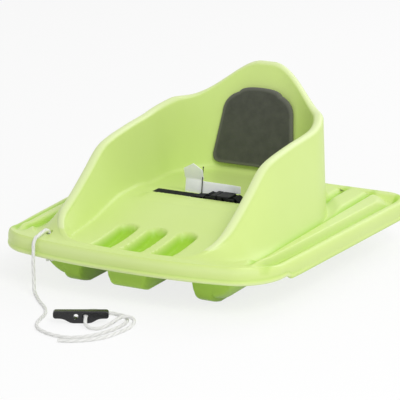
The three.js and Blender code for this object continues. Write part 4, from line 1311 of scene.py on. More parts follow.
    def moulded_floor(self, x: Array, y: Array) -> Array:
        """The floor with its three channels and the ledge before the belt."""
        height = self.floor_height(x, y)
        for middle in self.channels:
            front = self.channel_front + self.bow(np.array(middle), np.array(self.channel_front))
            share = (y - front) / (self.channel_rear - front)
            depth = self.channel_depth * share_curve(self.channel_depth_shares, share)
            start = step_near(front, self.channel_start, y)
            reach = self.channel_reach(x, y, middle)
            height = height - depth * start * (1 - smooth_step(*self.channel_edge, reach))
        rise = smooth_step(*self.ledge_y[:2], y) * (1 - smooth_step(*self.ledge_y[2:], y))
        return height + self.ledge_height * rise * (1 - smooth_step(*self.ledge_x, np.abs(x)))

    def deck(self, x: Array, y: Array) -> Array:
        """The height of the plain deck."""
        return np.asarray(blend(self.nose_height, self.deck_height, self.from_front(self.deck_fall, y)))

    def hem(self, x: Array, y: Array) -> Array:
        """The height of the lip's lower edge."""
        return np.asarray(blend(self.front_hem, self.side_hem, self.from_front(self.hem_fall, y)))

    def rib_share(self, y: Array) -> Array:
        """How much of their height the deck's ribs have along the sled."""
        rear = smooth_step(*self.rib_rear, y)
        return self.from_front(self.rib_front, y) * (1 - (1 - self.rear_lip_share) * rear)

    def groove_cut(self, x: Array, spread: float) -> Array:
        """Bells across the deck, one over each groove between its ribs."""
        return sum(bell(np.abs(x), middle, spread) for middle in self.grooves)

    def deck_rows(self, count: int) -> list[Array]:
        """The deck from the tub's foot to the lip, with ribs that run straight along the sled."""
        groove_ring = self.lip_edge.inset(self.lip_width, self.lip_width / 3)
        span = groove_ring.half_rear - self.tub_base.half_rear

        def height_for(share: float) -> Surface:
            """The deck's height at one share of its width."""
            start = smooth_step(*self.rib_start, share * span)
            edge = smooth_step(*self.lip_groove, share)

            def height(x: Array, y: Array) -> Array:
                """The deck with its ribs and grooves."""
                open_rear = 1 - smooth_step(*self.rib_rear, y)
                cut = np.clip(self.groove_cut(x, self.groove_spread), 0, 1) * open_rear
                rise = self.rib_height * self.rib_share(y) * start * (1 - cut)
                low = self.rib_share(y) * edge * open_rear
                return self.deck(x, y) - GAP + rise * (1 - edge * open_rear) - self.groove_depth * low

            return height

        return [self.level(self.tub_base.mixed(groove_ring, i / count), height_for(i / count))
                for i in range(1, count + 1)]

    def lip_rows(self) -> list[Array]:
        """The lip: up from its groove, over its round crest and down to a rolled lower edge."""
        def top(x: Array, y: Array) -> Array:
            """The crest of the lip, raised along the rear."""
            rear = smooth_step(*self.rib_rear, y) * self.rib_height * self.rear_lip_share
            return self.deck(x, y) + GAP + rear

        def groove(x: Array, y: Array) -> Array:
            """The bottom of the groove inside the lip."""
            open_rear = 1 - smooth_step(*self.rib_rear, y)
            return top(x, y) - GAP - self.groove_depth * self.rib_share(y) * open_rear

        def inside(share: float) -> Surface:
            """A height between the groove and the crest."""
            return lambda x, y: blend(groove(x, y), top(x, y), share)

        def outside(share: float) -> Surface:
            """A height between the crest and the lower edge."""
            return lambda x, y: blend(top(x, y), self.hem(x, y), share)

        def over_hem(rise: float) -> Surface:
            """A height over the lower edge."""
            return lambda x, y: self.hem(x, y) + rise

        stretches = ((self.lip_inside, inside), (self.lip_outside, outside), (self.lip_hem, over_hem))
        rows = [self.level(self.lip_edge.inset(side, end), height(value))
                for places, height in stretches for side, end, value in places]
        return self.refined(rows, self.rows.lip_steps)[1:]

    @staticmethod
    def refined(rows: Sequence[Array], steps: int) -> list[Array]:
        """Adds smooth rows between rows."""
        out: list[Array] = []
        last = len(rows) - 1
        for i in range(last):
            p0, p1, p2, p3 = rows[max(0, i - 1)], rows[i], rows[i + 1], rows[min(last, i + 2)]
            for k in range(steps):
                t = k / steps
                out.append(0.5 * (2 * p1 + (p2 - p0) * t + (2 * p0 - 5 * p1 + 4 * p2 - p3) * t**2
                                  + (3 * p1 - p0 - 3 * p2 + p3) * t**3))
        return [*out, rows[last]]

    def skin(self) -> tuple[Array, list[tuple[int, ...]]]:
        """The whole outside of the shell without its runners and holes."""
        count = self.rows
        shares = np.linspace(self.pole_share, 1, count.floor)[:-1]
        rows = [self.level(self.foot.shrunk(s), self.moulded_floor) for s in shares]
        low = self.level(self.foot, self.moulded_floor)

        def rim(drop: float) -> Surface:
            """The rim's height, less a drop that fades out at the nose."""
            fade = (0.0, self.rim_fade)
            return lambda x, y: self.rim_height(x, y) - drop * step_near(self.tub_front, fade, y)

        inner = self.level(self.rim_in, rim(self.rim_round), 1.0)
        outer = self.level(self.rim_out, rim(self.rim_round), 1.0)
        base = self.level(self.tub_base, lambda x, y: self.deck(x, y) - GAP)
        for p in np.linspace(0, 1, count.wall)[:-1]:
            rows.append(self.between(low, inner, p, float(share_curve(self.wall_shares, p))))
        for turn in np.linspace(0, math.pi, count.rim)[:-1]:
            share = 0.5 - 0.5 * math.cos(turn)
            drop = self.rim_round * (1 - math.sin(turn))
            rows.append(self.level(self.rim_in.mixed(self.rim_out, share), rim(drop), 1.0))
        for p in np.linspace(0, 1, count.outside):
            rows.append(self.between(outer, base, p, float(share_curve(self.outer_shares, p))))
        rows += self.deck_rows(count.deck) + self.lip_rows()
        belly = self.lip_edge.inset(2 * self.lip_width)
        rows += [self.level(belly.shrunk(s), lambda x, y: self.belly_height) for s in self.belly_shares]
        seat_middle = self.foot.middle
        top_z = float(self.moulded_floor(np.array(0.0), np.array(seat_middle)))
        bottom = np.array([0.0, belly.middle, self.belly_height])
        return loft(rows, np.array([0.0, seat_middle, top_z]), bottom)

    @staticmethod
    def between(lower: Array, upper: Array, plan_share: float, height_share: float) -> Array:
        """A level between two others: one share in plan and one in height."""
        plan = blend(lower[:, :2], upper[:, :2], plan_share)
        return np.column_stack([plan, blend(lower[:, 2], upper[:, 2], height_share)])

    def runner(self, middle: float, half: float, bottom: float, front: float, nose: float,
               flare: float) -> Object:
        """One runner: round sections along the sled, flared outwards, with a rising nose and tail."""
        top = self.belly_height + self.runner_sunk
        shares = np.concatenate([self.nose_places, np.linspace(*self.nose_even)])
        depth = share_curve(self.nose_shares, shares)
        places = [(front + s * nose, d) for s, d in zip(shares, depth)]
        places += [(self.runner_rear - s * self.tail_length, d) for s, d in zip(shares[::-1], depth[::-1])]
        rows = []
        for y, d in places:
            low = blend(top, bottom, max(float(d), self.runner_least))
            w = half * (1 - self.runner_narrowing * (1 - float(d)))
            r = min(self.sole_round, (top - low) * self.sole_round_share)
            inner = w - self.runner_draft - r
            sides = []
            for outward in (1, -1):
                spread = flare if middle * outward > 0 else 0.0
                side: list[Share] = self.bulge(w, spread, low, top, r)
                for i in range(self.sole_steps + 1):
                    turn = math.pi / 2 * i / self.sole_steps
                    reach = w - self.runner_draft - r * (1 - math.cos(turn))
                    side.append((reach, low + r * (1 - math.sin(turn))))
                side += [(inner * k, low) for k in (0.5, 0.0)]
                sides.append([(x * outward, z) for x, z in side])
            loop = sides[0] + sides[1][:-1][::-1]
            rows.append(np.array([(middle + x, y, z) for x, z in loop]))
        return closed_mesh("runner", *loft(rows, rows[0].mean(axis=0), rows[-1].mean(axis=0)))

    def bulge(self, w: float, spread: float, low: float, top: float, r: float) -> list[Share]:
        """A runner's side from its top down to its sole's rounding, curved outwards where it is flared."""
        plan_power, height_power = self.bulge_power if spread else self.plain_power
        foot_x = w - self.runner_draft
        points: list[Share] = []
        for i in range(self.bulge_steps):
            left = 1 - i / self.bulge_steps
            reach = blend(foot_x, w + spread, math.sin(left * math.pi / 2) ** plan_power)
            points.append((reach, blend(low + r, top, left ** height_power)))
        return points

    def box(self, low: Sequence[float], high: Sequence[float]) -> Object:
        """A closed box for cutting."""
        corners = np.array([[(low, high)[i][0], (low, high)[j][1], (low, high)[k][2]]
                            for i in (0, 1) for j in (0, 1) for k in (0, 1)])
        faces = [(0, 1, 3, 2), (4, 6, 7, 5), (0, 4, 5, 1), (2, 3, 7, 6), (0, 2, 6, 4), (1, 5, 7, 3)]
        return closed_mesh("cutter", corners, faces)

    def round_cutter(self, x: float, y: float, radius: float, low: float, high: float) -> Object:
        """A closed upright cylinder for cutting."""
        return rod("cutter", ((x, y, low), (x, y, high)), radius, self.hole_sides, across=(0, 1))

    def shade(self, places: Array) -> Array:
        """How much painted shade or painted highlight each place gets: up to 1 of painted shade in channels,
        grooves and below, down to -1 of painted highlight on rim and lip.
        """
        tint, edge = self.tint, self.lip_edge
        x, y, z = places.T
        aside, belly = np.abs(x), self.belly_height
        front = self.channel_front + self.bow(x, y)
        reach = np.minimum.reduce([self.channel_reach(x, y, middle) for middle in self.channels])
        over_belly, over_floor = tint.channel_room
        inside = (aside < self.foot.half_front) & (y > front)
        inside &= (z < self.floor_height(x, y) + over_floor) & (z > belly + over_belly)
        # Painted shade in the footwell's channels.
        channel = np.where(inside, 1 - smooth_step(*tint.channel_edge, reach), 0.0)
        deck, hem = self.deck(x, y), self.hem(x, y)
        on_deck = (aside > self.tub_base.half_front * tint.deck_start) | (y > self.head_fade[0])
        on_deck &= z < deck + self.rib_height * tint.rib_top
        on_deck &= z > deck - tint.deck_depth * self.groove_depth
        along = np.clip((y - edge.front) / (edge.rear - edge.front), 0, 1)
        lip = blend(edge.half_front, edge.half_rear, along) - self.lip_width * tint.lip_line
        near_lip = step_near(lip, tint.lip_line_inside, aside)
        near_lip = near_lip * (1 - step_near(lip, tint.lip_line_outside, aside))
        cut = self.groove_cut(x, self.groove_spread * tint.groove_widening)
        cut = np.maximum(cut, tint.lip_line_share * near_lip)
        # Painted shade in the deck's grooves and in a line just inside the lip.
        groove = np.where(on_deck, cut * self.rib_share(y), 0.0)
        # Painted shade under the belly and on the runners.
        below = tint.underside_shade_share * (1 - step_near(belly, tint.below, z))
        # Painted highlight along the top of the tub's rim.
        over_nose = z > self.nose_height + tint.crest_over_nose
        crest = step_near(self.rim_height(x, y), tint.crest, z) * over_nose
        over_belly, under_deck = tint.wall_room
        wall = (z > belly + over_belly) & (z < deck - under_deck) & ~inside
        # Painted highlight along the lip's lower edge.
        hem_highlight = bell(z - hem, *tint.hem_highlight) * wall
        # A darker line a little above the lip's lower edge at the front, mixed in like the painted shade.
        seam = bell(z - hem, *tint.seam) * wall * (y < self.channel_rear)
        # Painted highlight along the top of the lip at the front.
        glow = bell(z - deck, *tint.glow) * wall * (y < edge.front + tint.lip_top_highlight_length)
        # Painted shade counts upwards from 0 and painted highlight downwards.
        deep = np.clip(np.maximum.reduce([channel, groove, below]), 0, 1)
        paler = tint.hem_highlight_share * hem_highlight + tint.lip_top_highlight_share * glow
        return deep - crest - paler + tint.dark_line_over_hem_share * seam

    def build(self, material: Material) -> Object:
        """Makes the shell in one closed skin."""
        shell = mesh_object("moulded_shell", *self.skin())
        recalculate_normals(shell)
        runners = [self.runner(side * self.runner_middle, self.runner_half, 0.0, self.runner_front,
                               self.nose_length, self.runner_flare) for side in (1, -1)]
        runners.append(self.runner(0.0, self.keel_half, self.keel_bottom, self.keel_front,
                                   self.keel_nose, 0.0))
        boolean(shell, join_objects("runners", runners), "UNION")
        low = self.belly_height - self.hole_over
        cutters = [self.round_cutter(*self.rope_hole, low, self.nose_height + self.hole_over),
                   self.round_cutter(*self.drain, low, self.belly_height + self.drain_over)]
        boolean(shell, join_objects("holes", cutters), "DIFFERENCE")
        inwards, outwards = self.room_sides
        under, over = self.slot_reach
        for side in (-1, 1):
            ends = sorted((side * (SLOT_X - SLOT_WIDTH / 2 - inwards), side * (SLOT_X + outwards)))
            room = self.box((ends[0], SLOT_Y - self.room_half, SEAT_HEIGHT - self.room_depth),
                            (ends[1], SLOT_Y + self.room_half, SEAT_HEIGHT - SEAT_WALL))
            boolean(shell, room, "DIFFERENCE")
            middle, half = side * SLOT_X, SLOT_WIDTH / 2
            slot = self.box((middle - half, SLOT_Y - self.slot_length / 2, SEAT_HEIGHT - under),
                            (middle + half, SLOT_Y + self.slot_length / 2, SEAT_HEIGHT + over))
            boolean(shell, slot, "DIFFERENCE")
        smooth_shade(shell, self.sharp_degrees)
        # Stores the painted shade and painted highlight with each vertex, for the plastic's colour.
        places = np.empty(len(shell.data.vertices) * 3, np.float32)
        shell.data.vertices.foreach_get("co", places)
        point_attribute(shell, "shade", self.shade(places.reshape(-1, 3).astype(float) / MM))
        return dress(shell, material, Slot.SHELL, "shell")


@dataclass(frozen=True)
class BackPad:
    """The dark foam pad, crowned in front and shaped to the back wall behind."""

    width: float = 164.0
    height: float = 146.0
    thickness: float = 13.0
    corner: float = 16.0
    dome: float = 22.0
    top_inset: float = 10.0
    top_corner: float = 30.0
    edge_round: float = 3.2
    edge_steps: int = 6
    edge_fade: float = 0.55
    crown: float = 1.2
    middle_share: float = 0.48
    wall_gap: float = 0.4
    back_inset: float = 0.6
    back_lift: float = 0.8
    back_shares: tuple[float, ...] = (0.25, 0.5, 0.75, 0.92, 1.0)
    face_shares: tuple[float, ...] = (0.93, 0.9, 0.8, 0.65, 0.5, 0.35, 0.2, 0.08)
    search_from: float = 40.0
    search_length: float = 120.0
    sharp_degrees: float = 55.0

    def outline(self) -> Array:
        """The pad's outline from its foot, its top along +Y, in straight runs and soft bends."""
        half, top = self.width / 2, self.width / 2 - self.top_inset
        side = self.height - self.dome
        corner, tip, shoulder = self.corner, self.top_corner, side + self.dome / 2
        stretches: tuple[tuple[int, tuple[Share, ...]], ...] = (
            (16, ((half - corner, 0),)),
            (10, ((half, 0), (half, corner))),
            (14, ((top, side - tip),)),
            (10, ((top - GAP, side), (top - tip, shoulder))),
            (14, ((top / 2, self.height), (0, self.height))),
            (14, ((-top / 2, self.height), (-top + tip, shoulder))),
            (10, ((-top + GAP, side), (-top, side - tip))),
            (14, ((-half, corner),)),
            (10, ((-half, 0), (-half + corner, 0))),
        )
        points: list[Share] = []
        here: Share = (-half + corner, 0)
        for steps, (*drawn_to, there) in stretches:
            for i in range(steps):
                t = i / steps
                if drawn_to:
                    spot = ((1 - t) ** 2 * p + 2 * (1 - t) * t * q + t**2 * r
                            for p, q, r in zip(here, drawn_to[0], there))
                else:
                    spot = (p + (q - p) * i / steps for p, q in zip(here, there))
                points.append(tuple(spot))
            here = there
        return np.array(points)

    def placing(self, shell: Shell) -> Matrix:
        """Where the pad stands: on the straight part of the back wall, leaned as it leans."""
        plan_low, height_low = shell.wall_shares[3]
        low_y, low_z = shell.foot.rear, float(shell.floor_height(np.array(0.0), np.array(shell.foot.rear)))
        high_y = shell.rim_in.rear + shell.head_lean * shell.head_rise
        high_z = float(shell.rim_height(np.array(0.0), np.array(shell.rim_in.rear))) - shell.rim_round
        y, z = blend(low_y, high_y, plan_low), blend(low_z, high_z, height_low)
        lean = math.pi / 2 - math.atan2(high_y - y, high_z - z)
        return Matrix.Translation(Vector((0, y, z)) * MM) @ Matrix.Rotation(lean, 4, "X")

    def build(self, material: Material, shell: Shell, wall: Object) -> Object:
        """Makes the pad against the finished shell."""
        place = self.placing(shell)
        outline = self.outline()
        middle = np.array([0.0, self.height * self.middle_share])
        work = bmesh.new()
        work.from_mesh(wall.data)
        tree = BVHTree.FromBMesh(work)
        work.free()
        face_out = place.to_3x3() @ Vector((0, 0, 1))

        def wall_depth(point: Array) -> float:
            """How far behind the pad's own plane the wall stands, in millimetres."""
            start = place @ (Vector((point[0], point[1], self.search_from)) * MM)
            distance = tree.ray_cast(start, -face_out, self.search_length * MM)[3]
            return self.search_from - distance / MM if distance is not None else 0.0

        def ring(share: float, inset: float, z: float | None) -> Array:
            """One loop of the pad; without a height it lies against the wall."""
            loop = middle + (outline - middle) * share
            away = loop - middle
            loop = loop - away / np.linalg.norm(away, axis=1)[:, None] * inset
            heights = [z if z is not None else wall_depth(p) + self.wall_gap for p in loop]
            return np.column_stack([loop, heights])

        back = [ring(s, self.back_inset, None) for s in self.back_shares]
        rows = [*back, ring(1.0, 0.0, None) + np.array([0, 0, self.back_lift]),
                ring(1.0, 0.0, self.thickness - self.edge_round)]
        for i in range(1, self.edge_steps + 1):
            turn = math.pi / 2 * i / self.edge_steps
            rows.append(ring(1.0, self.edge_round * (1 - math.cos(turn)),
                             self.thickness - self.edge_round * (1 - math.sin(turn))))
        edge_rows = len(rows)
        for s in self.face_shares:
            rows.append(ring(s, 0.0, self.thickness + self.crown * (1 - s**2)))
        first = np.array([*middle, wall_depth(middle) + self.wall_gap])
        points, faces = loft(rows, first, np.array([*middle, self.thickness + self.crown]))
        pad = mesh_object("back_pad_foam", points, faces)
        pad.data.transform(place)
        count = len(outline)
        row_of = np.minimum(np.arange(len(points)) // count, len(rows))
        edge = np.where((row_of >= len(back)) & (row_of < edge_rows), 1.0, 0.0)
        edge[row_of == edge_rows] = self.edge_fade
        point_attribute(pad, "edge", edge)
        recalculate_normals(pad)
        smooth_shade(pad, self.sharp_degrees)
        dress(pad, material, Slot.FOAM, "back_pad")
        return pad


@dataclass(frozen=True)
class Strap:
    """One side's strap: a loop round its stop bar, along the seat and round its half of the buckle."""

    side: int
    bar_x: float
    tail: float
    name: str
    node: str
    width: float = WEB_WIDTH
    thickness: float = WEB_THICKNESS
    buckle_height: float = 11.0
    loop_bar: float = 5.0
    stop_bar: float = 6.0
    stop_drop: float = 1.5
    stop_start: float = 0.9
    stop_steps: int = 22
    bend_steps: int = 8
    loop_steps: int = 10
    loop_end: float = -3.5
    run_step: float = 3.0
    edge_steps: int = 4
    stitch_inset: float = 2.5
    stitch_lift: float = 0.1
    stitch_rows: Share = (2.0, 4.5)

    def path(self) -> Array:
        """The strap's middle line in X and Z."""
        low = SEAT_HEIGHT + GAP
        web_middle = low + self.thickness / 2
        buckle_middle = low + self.buckle_height / 2
        stop_turn = self.stop_bar / 2 + 2 * GAP + self.thickness / 2
        stop_z = SEAT_HEIGHT - SEAT_WALL - self.stop_drop - self.thickness / 2 - stop_turn
        stop_x = self.side * (SLOT_X + stop_turn)
        inward, quarter = -self.side, math.pi / 2

        def arc(x: float, z: float, radius: float, start: float, end: float, steps: int) -> list[Share]:
            """A round turn about a bar, mirrored for the other side."""
            turns = np.linspace(start, end, steps + 1)
            turns = turns if self.side > 0 else math.pi - turns
            return [(x + radius * math.cos(t), z + radius * math.sin(t)) for t in turns]

        points = arc(stop_x, stop_z, stop_turn, quarter * self.stop_start, -math.pi, self.stop_steps)
        bend = SLOT_WIDTH / 2
        bend_x = self.side * SLOT_X + inward * bend
        points += arc(bend_x, web_middle - bend, bend, 0.0, quarter, self.bend_steps)
        turn = self.loop_bar / 2 + 2 * GAP + self.thickness / 2
        start_x, end_x = points[-1][0], self.bar_x - inward * turn * 2
        run = np.linspace(start_x, end_x, max(3, int(abs(end_x - start_x) / self.run_step)))[1:]
        points += [(float(x), web_middle) for x in run]
        for first, last, skipped in ((-quarter, -math.pi, 0), (-math.pi, self.loop_end * quarter, 1)):
            points += arc(self.bar_x, buckle_middle, turn, first, last, self.loop_steps)[skipped:]
        points.append((self.bar_x - inward * turn * 2, web_middle + self.thickness * 2))
        points.append((self.bar_x - inward * self.tail, web_middle + self.thickness + GAP))
        return np.array(points)

    def build(self, material: Material) -> Object:
        """Makes the strap as a band with round edges, with its lengths stored for the weave."""
        path = self.path()
        step = np.gradient(path, axis=0)
        step /= np.linalg.norm(step, axis=1)[:, None]
        normal = np.column_stack([-step[:, 1], step[:, 0]])
        length = np.concatenate([[0], np.cumsum(np.linalg.norm(np.diff(path, axis=0), axis=1))])
        half_w, half_t = self.width / 2, self.thickness / 2
        section: list[Share] = []
        for end in (1, -1):
            for i in range(self.edge_steps + 1):
                turn = math.pi * i / self.edge_steps - math.pi / 2
                y = end * (half_w - half_t + half_t * math.cos(turn))
                section.append((y, end * half_t * math.sin(turn)))
            section += [(end * half_w * k, end * half_t) for k in (0.5, 0.0, -0.5)]
        rows, along, across = [], [], []
        for (x, z), (nx, nz), s in zip(path, normal, length):
            rows.append(np.array([(x + nx * t, SLOT_Y + y, z + nz * t) for y, t in section]))
            along += [s * MM] * len(section)
            across += [(y + half_w) * MM for y, _ in section]
        points, faces = loft(rows)
        strap = mesh_object(self.name, points, faces)
        point_attribute(strap, "along", along)
        point_attribute(strap, "across", across)
        recalculate_normals(strap)
        smooth_shade(strap, sharp_degrees=50.0)
        return dress(strap, material, Slot.WEB, self.node)

    def stitches(self, tree: GeometryTree, material: Material) -> Object:
        """Rows of stitches that hold the strap's tail."""
        end_x, end_z = self.path()[-1]
        z = end_z + self.thickness / 2 + self.stitch_lift
        half = self.width / 2 - self.stitch_inset
        rows, edges = [], []
        for offset in self.stitch_rows:
            x = end_x - self.side * offset
            rows += [(x, SLOT_Y - half, z), (x, SLOT_Y + half, z)]
            edges.append((len(rows) - 2, len(rows) - 1))
        stitches = mesh_object(self.name + "_stitches", np.array(rows), [], edges)
        tree.apply(stitches, {"Material": material})
        return dress(stitches, material, Slot.WEB)


@dataclass(frozen=True)
class Buckle:
    """The side-release buckle: a socket with windows and a plug with two catches and a stem."""

    mouth_x: float = 38.0
    middle_y: float = SLOT_Y
    low: float = SEAT_HEIGHT + GAP
    height: float = 11.0
    width: float = 33.0
    socket_length: float = 36.0
    socket_wall: float = 2.4
    window: float = 7.0
    plug_length: float = 21.0
    prong_length: float = 17.0
    prong_width: float = 5.0
    prong_height: float = 4.0
    stem_width: float = 6.0
    bar: float = 5.0
    free: float = 1.2
    window_past: float = 8.0

    @property
    def arm_length(self) -> float:
        """The length of the frame that carries a strap."""
        return self.bar + 2 * WEB_THICKNESS + 2 * self.free

    @property
    def arm_width(self) -> float:
        """The width of the frame's two sides."""
        return (self.width - WEB_WIDTH) / 2 - self.free

    def slab(self, name: str, x0: float, x1: float, y: float, half_y: float, thick: float,
             corner: float, bevel: float) -> Object:
        """A rounded slab on the buckle's middle height."""
        y0, y1 = y - half_y, y + half_y
        outline = rounded_rectangle(abs(x1 - x0), abs(y1 - y0), corner, (x0 + x1) / 2, (y0 + y1) / 2)
        place = Matrix.Translation((0, 0, (self.low + self.height / 2) * MM))
        return plate(name, [outline], thick, bevel, place, steps=3)

    def frame(self, body_end: float, outer_end: float) -> list[Object]:
        """The two side arms and the bar of one half."""
        out = math.copysign(1.0, outer_end - body_end)
        inner = body_end - out * self.arm_width
        reach = (WEB_WIDTH + self.arm_width) / 2 + self.free
        pieces = []
        for side in (-1, 1):
            pieces.append(self.slab("arm", inner, outer_end, self.middle_y + side * reach, self.arm_width / 2,
                                    self.bar, corner=self.arm_width * 0.45, bevel=0.8))
        centre_x, z = outer_end - out * self.bar / 2, self.low + self.height / 2
        ends = [(centre_x, self.middle_y + y, z) for y in (-reach, reach)]
        return [*pieces, rod("bar", ends, self.bar / 2, sides=24, across=(0, 2))]

    def cutter(self, x0: float, x1: float, half_y: float, tall: float) -> Object:
        """A rounded body that cuts the socket's mouth or window."""
        return self.slab("cutter", x0, x1, self.middle_y, half_y, tall, corner=0.8, bevel=0.5)

    def joined(self, body: Object, pieces: Iterable[Object], material: Material, node: str) -> Object:
        """Joins pieces to a half's body and dresses it."""
        for piece in pieces:
            boolean(body, piece, "UNION")
        smooth_shade(body)
        return dress(body, material, Slot.HARDWARE, node)

    def socket(self, material: Material) -> Object:
        """Makes the socket."""
        end = self.mouth_x + self.socket_length
        body_end = end - self.arm_length
        half = self.width / 2
        body = self.slab("buckle_socket_moulding", self.mouth_x, body_end, self.middle_y, half,
                         self.height, corner=4.0, bevel=1.6)
        room = self.prong_length + self.free
        tall = self.prong_height + 2 * self.free
        for x0, half_y in ((self.mouth_x - room, half - self.socket_wall),
                           (self.mouth_x + room - self.window, half + self.window_past)):
            boolean(body, self.cutter(x0, self.mouth_x + room, half_y, tall), "DIFFERENCE")
        return self.joined(body, self.frame(body_end, end), material, "buckle_socket")

    def plug(self, material: Material) -> Object:
        """Makes the plug, with its stem and its two catches inside the socket."""
        face = self.mouth_x - GAP
        end = face - self.plug_length
        body_end = end + self.arm_length
        half = self.width / 2
        body = self.slab("buckle_plug_moulding", face, body_end, self.middle_y, half,
                         self.height, corner=2.0, bevel=1.0)
        root, tip = face - self.prong_width, face + self.prong_length
        reach = half - self.socket_wall - self.free - self.prong_width / 2
        pieces = [self.slab("stem", root, tip, self.middle_y, self.stem_width / 2, self.prong_height,
                            corner=1.0, bevel=0.6)]
        catch = self.mouth_x + self.prong_length + self.free - self.window / 2
        catch_half = self.window / 2 - self.free
        for side in (-1, 1):
            y, half_y = self.middle_y + side * reach, self.prong_width / 2
            pieces.append(self.slab("prong", root, tip, y, half_y, self.prong_height, corner=1.2, bevel=0.6))
            y += side * self.free
            pieces.append(self.slab("catch", catch - catch_half, catch + catch_half, y, half_y,
                                    self.prong_height, corner=1.0, bevel=0.5))
        return self.joined(body, [*pieces, *self.frame(body_end, end)], material, "buckle_plug")


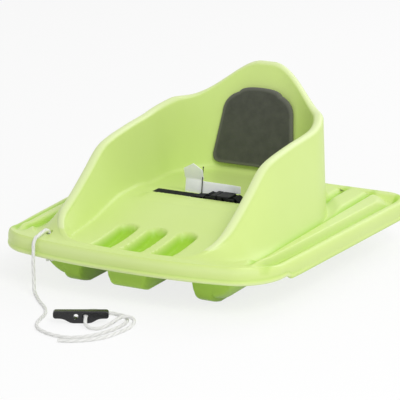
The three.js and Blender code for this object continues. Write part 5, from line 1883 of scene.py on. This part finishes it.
@dataclass(frozen=True)
class FoldedCard:
    """The blank folded card behind the belt: a pointed card, a band and the pin that holds them."""

    width: float = 38.0
    lower: float = 25.0
    upper: float = 31.0
    peak: float = 12.0
    thick: float = 0.9
    band_length: float = 78.0
    band_height: float = 23.0
    origin: Place = (-25.0, 31.0, SEAT_HEIGHT)
    lean: float = 0.14
    fold: float = 0.42
    narrow: float = 0.9
    forward: float = 0.6
    bulge: float = 0.8
    columns: int = 9
    lower_rows: tuple[float, ...] = (0.0, 6.0, 12.0, 18.0, 23.0)
    over_fold: float = 2.0
    upper_rows: tuple[float, ...] = (33.0, 38.0)
    peak_rows: tuple[float, ...] = (0.25, 0.5, 0.75, 0.97)
    peak_aside: float = 0.12
    band_rows: tuple[float, ...] = (0.0, 0.12, 0.34, 0.6, 0.8, 1.0)
    band_columns: int = 27
    band_foot: tuple[Share, ...] = ((0, 0), (0.58, 0), (0.64, -0.06), (0.7, 0.1), (0.8, 0.34), (1.0, 0.42))
    band_fold: Share = (0.66, 0.12)
    band_forward: float = 1.4
    band_bulge: float = 1.2
    band_kick: float = 16.0
    edge_round: float = 0.25
    sharp_degrees: float = 30.0
    pin: float = 1.6
    pin_length: float = 48.0
    pin_low: float = 1.2
    pin_forward: float = 2.9
    pin_sides: int = 14
    pin_foot: tuple[Share, ...] = ((0.9, 0.1), (1.5, 0.7), (1.5, 1.6), (1.0, 2.2), (0.92, 12.0))
    pin_head: tuple[Share, ...] = ((0.92, 14.0), (1.0, 2.6), (1.5, 1.8), (1.5, 0.7), (0.9, 0.1))

    def placed(self, x: float, v: float, w: float, fold: float = 0.0) -> Place:
        """A place on the leaned card: across, up and out of its face, bent forward above the fold."""
        turn = math.pi / 2 - self.lean
        y = v * math.cos(turn) - w * math.sin(turn)
        z = v * math.sin(turn) + w * math.cos(turn)
        over = max(0.0, v - self.lower)
        y -= over * math.sin(fold)
        return self.origin[0] + x, self.origin[1] + y, self.origin[2] + z

    def sheet(self, name: str, rows: Sequence[Sequence[Place]], fold: float) -> Object:
        """A thin sheet from a grid of places, thickened towards its back."""
        grid = [[self.placed(*spot, fold) for spot in row] for row in rows]
        count = len(grid[0])
        points = np.array([p for row in grid for p in row])
        faces = [(r * count + i, r * count + i + 1, (r + 1) * count + i + 1, (r + 1) * count + i)
                 for r in range(len(grid) - 1) for i in range(count - 1)]
        obj = mesh_object(name, points, faces)
        solid = obj.modifiers.new("thickness", "SOLIDIFY")
        solid.thickness = self.thick * MM
        solid.offset = 0.0
        bevel = obj.modifiers.new("edges", "BEVEL")
        bevel.width = self.edge_round * MM
        bevel.segments = 2
        bevel.limit_method = "ANGLE"
        bake_modifiers(obj)
        recalculate_normals(obj, merge=1e-6)
        smooth_shade(obj, self.sharp_degrees)
        return obj

    def build(self, material: Material) -> None:
        """Makes the pointed card and its band."""
        half, shoulder = self.width / 2, self.lower + self.upper - self.peak
        rows = []
        for v in (*self.lower_rows, self.lower, self.lower + self.over_fold, *self.upper_rows, shoulder):
            below = v <= self.lower
            inner = half * (self.narrow if below else 1.0)
            bulge = self.bulge * math.sin(math.pi * min(1.0, v / self.lower)) if below else 0.0
            xs = np.linspace(-inner, inner, self.columns)
            rows.append([(float(x), v, self.forward + bulge * (1 - (x / half) ** 2)) for x in xs])
        for share in self.peak_rows:
            v, aside = shoulder + self.peak * share, half * self.peak_aside * share
            xs = np.linspace(-half * (1 - share) + aside, half * (1 - share) + aside, self.columns)
            rows.append([(float(x), v, self.forward) for x in xs])
        card = self.sheet("pointed_card", rows, self.fold)
        dress(card, material, Slot.CARD, "blank_card")
        self._band(material)

    def _band(self, material: Material) -> None:
        """Makes the band beside the card, its far end folded over."""
        start = self.width / 2 * self.narrow + GAP
        length, height = self.band_length, self.band_height
        places, lows = zip(*self.band_foot)
        first, slant = self.band_fold
        rows = []
        for v_share in self.band_rows:
            row = []
            for k in np.linspace(0, 1, self.band_columns):
                low = float(np.interp(k, places, lows))
                v = height * (low + (1 - low) * v_share)
                past = max(0.0, k - (first + slant * (1 - v_share)))
                w = self.band_forward + self.band_bulge * math.sin(math.pi * k) + past * self.band_kick
                row.append((start + length * float(k), v, w))
            rows.append(row)
        band = self.sheet("folded_band", rows, 0.0)
        dress(band, material, Slot.CARD, "blank_card_band")

    def build_pin(self, material: Material) -> Object:
        """Makes the thin pin with its small heads."""
        radius = self.pin / 2
        x = self.width / 2 * self.narrow
        profile = [(radius * k, v) for k, v in self.pin_foot]
        profile += [(radius * k, self.pin_length - v) for k, v in self.pin_head]
        turns = np.linspace(0, 2 * np.pi, self.pin_sides, endpoint=False)
        rows = [np.array([self.placed(x + r * math.cos(t), self.pin_low + v,
                                      self.pin_forward + r * math.sin(t)) for t in turns])
                for r, v in profile]
        ends = [np.array(self.placed(x, self.pin_low + v, self.pin_forward)) for v in (0.0, self.pin_length)]
        pin = closed_mesh("card_pin_rod", *loft(rows, *ends))
        smooth_shade(pin, sharp_degrees=50.0)
        return dress(pin, material, Slot.WEB, "card_pin")


def paint_cad_nodes(material: Material, *names: str) -> None:
    """Gives CAD nodes that keep their shape a procedural finish."""
    for name in names:
        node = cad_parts[name]
        node.material_slots[0].material = material
        LOG.info("%s keeps its CAD shape", name)


def main() -> None:
    """Builds the studio and the sled's sub-assemblies in order, and reports each piece."""
    logging.basicConfig(level=logging.INFO, format="%(message)s")
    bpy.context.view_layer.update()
    Studio().build()
    groups = SurfaceGroups()
    handle = TowHandle().build(HANDLE_FINISH.build(groups))
    TowRope().build(ROPE_FINISH.build(groups), handle)
    shell = Shell()
    skin = shell.build(SHELL_FINISH.build(groups))
    BackPad().build(FOAM_FINISH.build(groups), shell, skin)
    web = WEB_FINISH.build(groups)
    buckle = Buckle()
    plug_bar = buckle.mouth_x - GAP - buckle.plug_length + buckle.bar / 2
    socket_bar = buckle.mouth_x + buckle.socket_length - buckle.bar / 2
    Strap(-1, plug_bar, 26.0, "belt_web_right", "belt_strap_right").build(web)
    left = Strap(1, socket_bar, 12.0, "belt_web_left", "belt_strap_left")
    left.build(web)
    left.stitches(stitch_tree(), THREAD_FINISH.build(groups))
    satin = BUCKLE_FINISH.build(groups)
    buckle.socket(satin)
    buckle.plug(satin)
    paint_cad_nodes(satin, "belt_stop_bar_right", "belt_stop_bar_left")
    card = FoldedCard()
    card.build(CARD_FINISH.build(groups))
    card.build_pin(satin)


if __name__ == "__main__":
    main()
